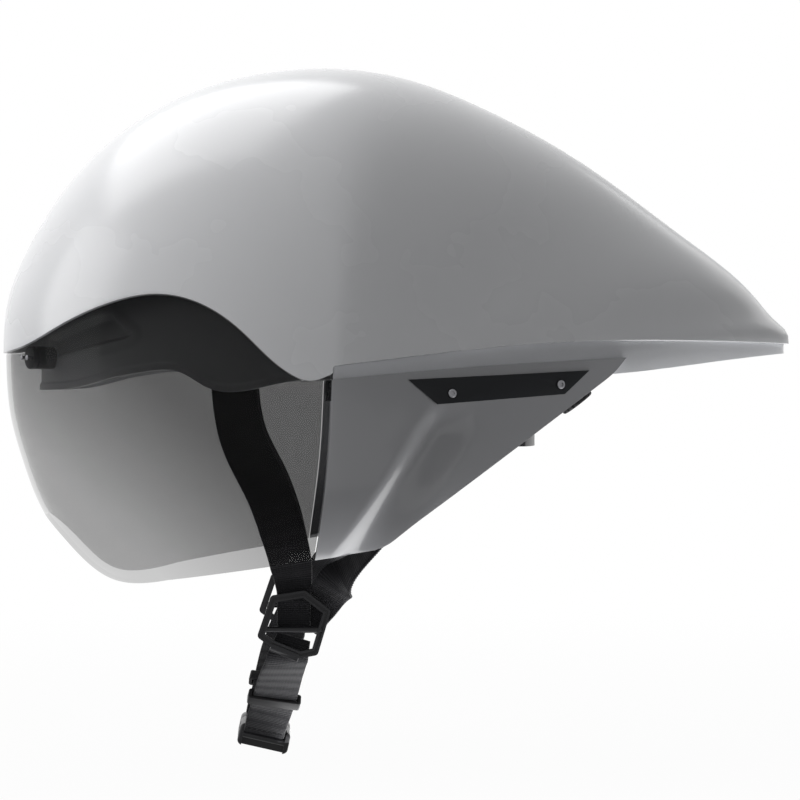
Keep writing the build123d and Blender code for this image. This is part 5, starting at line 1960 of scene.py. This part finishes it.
@dataclass
class Studio:
    """The floor, the lamps and the camera."""

    target: tuple = (45.5, 0.0, -9.1)
    yaw: float = 2.5
    rise: float = 0.3
    distance: float = 1300.0
    focal_pixels: float = 2857.0
    floor_level: float = -169.5
    lamps: tuple = (
        ("key_top", (-0.45, 0.20, 1.10), (-0.02, 0.0, 0.0), (1.3, 1.0), 13.0),
        ("front_box", (-1.25, -0.25, 0.40), (-0.05, 0.0, 0.02), (0.8, 0.9), 6.0),
        ("low_fill", (0.1, -1.3, -0.02), (0.03, 0.0, -0.03), (1.4, 0.5), 0.8),
        ("rear_box", (1.2, 0.7, 0.7), (0.1, 0.0, 0.0), (0.9, 0.7), 2.5),
        ("tail_bounce", (0.16, -0.03, -0.162), (0.16, -0.03, 0.0), (0.34, 0.16), 0.6))

    def build(self) -> None:
        """Sets up the whole studio."""
        self.add_camera()
        self.add_world()
        self.add_floor()
        for name, place, aim, size, power in self.lamps:
            self.add_lamp(name, place, aim, size, power)
        bpy.context.scene.view_settings.view_transform = "Standard"

    def add_camera(self) -> None:
        """Puts the camera where the photograph was taken from."""
        turn, lift = radians(self.yaw), radians(self.rise)
        ahead = Vector((sin(turn) * cos(lift), cos(turn) * cos(lift), -sin(lift)))
        data = bpy.data.cameras.new("camera")
        data.sensor_width = 36.0
        data.lens = self.focal_pixels * 36.0 / 800.0
        data.clip_end = 50.0
        eye = bpy.data.objects.new("camera", data)
        eye.location = (Vector(self.target) - ahead * self.distance) * MM
        eye.rotation_euler = ahead.to_track_quat("-Z", "Y").to_euler()
        bpy.context.scene.collection.objects.link(eye)
        bpy.context.scene.camera = eye

    def seen_mask(self, tree: bpy.types.NodeTree) -> bpy.types.NodeSocket:
        """1 for the rays that see the background, and 0 for those that light the scene.

        Args:
            tree: The nodes it is added to.

        Returns:
            The mask.
        """
        path = tree.nodes.new("ShaderNodeLightPath")
        first = tree.nodes.new("ShaderNodeMath")
        first.operation = "MAXIMUM"
        tree.links.new(path.outputs["Is Camera Ray"], first.inputs[0])
        tree.links.new(path.outputs["Is Transmission Ray"], first.inputs[1])
        second = tree.nodes.new("ShaderNodeMath")
        second.operation = "MAXIMUM"
        tree.links.new(first.outputs["Value"], second.inputs[0])
        tree.links.new(path.outputs["Is Glossy Ray"], second.inputs[1])
        return second.outputs["Value"]

    def add_world(self) -> None:
        """A white backdrop that lights the scene only softly."""
        world = bpy.data.worlds.new("world")
        world.use_nodes = True
        tree = world.node_tree
        glow = tree.nodes["Background"]
        shown = tree.nodes.new("ShaderNodeBackground")
        shown.inputs["Color"].default_value = (1.0, 1.0, 1.0, 1.0)
        glow.inputs["Color"].default_value = (0.95, 0.97, 1.0, 1.0)
        glow.inputs["Strength"].default_value = 0.06
        mix = tree.nodes.new("ShaderNodeMixShader")
        tree.links.new(self.seen_mask(tree), mix.inputs["Fac"])
        tree.links.new(glow.outputs["Background"], mix.inputs[1])
        tree.links.new(shown.outputs["Background"], mix.inputs[2])
        tree.links.new(mix.outputs["Shader"], tree.nodes["World Output"].inputs["Surface"])
        bpy.context.scene.world = world

    def add_floor(self) -> None:
        """A wide pale floor that keeps the object's soft shadow."""
        bpy.ops.mesh.primitive_circle_add(vertices=96, radius=6.0, fill_type="NGON",
                                          location=(0, 0, self.floor_level * MM))
        floor = bpy.context.object
        floor.name = "floor"
        material = bpy.data.materials.new("floor_pale")
        material.use_nodes = True
        tree = material.node_tree
        matt = tree.nodes["Principled BSDF"]
        matt.inputs["Base Color"].default_value = (0.34, 0.34, 0.345, 1.0)
        matt.inputs["Roughness"].default_value = 0.9
        white = tree.nodes.new("ShaderNodeEmission")
        place = tree.nodes.new("ShaderNodeTexCoord")
        far = tree.nodes.new("ShaderNodeVectorMath")
        far.operation = "LENGTH"
        tree.links.new(place.outputs["Object"], far.inputs[0])
        whiter = tree.nodes.new("ShaderNodeMapRange")
        whiter.interpolation_type = "SMOOTHSTEP"
        whiter.inputs["From Min"].default_value = 0.15
        whiter.inputs["From Max"].default_value = 0.9
        whiter.inputs["To Min"].default_value = 0.97
        whiter.inputs["To Max"].default_value = 1.0
        tree.links.new(far.outputs["Value"], whiter.inputs["Value"])
        share = tree.nodes.new("ShaderNodeMath")
        share.operation = "MULTIPLY"
        tree.links.new(whiter.outputs["Result"], share.inputs[1])
        tree.links.new(self.seen_mask(tree), share.inputs[0])
        mix = tree.nodes.new("ShaderNodeMixShader")
        tree.links.new(share.outputs["Value"], mix.inputs["Fac"])
        tree.links.new(matt.outputs["BSDF"], mix.inputs[1])
        tree.links.new(white.outputs["Emission"], mix.inputs[2])
        tree.links.new(mix.outputs["Shader"],
                       tree.nodes["Material Output"].inputs["Surface"])
        floor.data.materials.append(material)

    def add_lamp(self, name: str, place: tuple, aim: tuple, size: tuple,
                 power: float) -> None:
        """A soft box.

        Args:
            name: Its name.
            place: Where it stands, in metres.
            aim: What it points at, in metres.
            size: Its width and height in metres.
            power: Its power in watts.
        """
        data = bpy.data.lights.new(name, "AREA")
        data.shape = "RECTANGLE"
        data.size, data.size_y = size
        data.energy = power
        lamp = bpy.data.objects.new(name, data)
        lamp.location = place
        lamp.rotation_euler = (Vector(aim) - Vector(place)).to_track_quat("-Z", "Y").to_euler()
        lamp.visible_camera = False
        bpy.context.scene.collection.objects.link(lamp)


def main() -> None:
    """Builds the whole helmet and its studio."""
    logging.basicConfig(level=logging.INFO, format="%(name)s: %(message)s")
    Studio().build()
    OuterShell().build()
    BrowFrame().build()
    Visor().build()
    for side in Side:
        SideShield(side).build()
        Harness(side).build()
    HardPieces().build()
    SideBands().build()
    SoftPads().build()


if __name__ == "__main__":
    main()
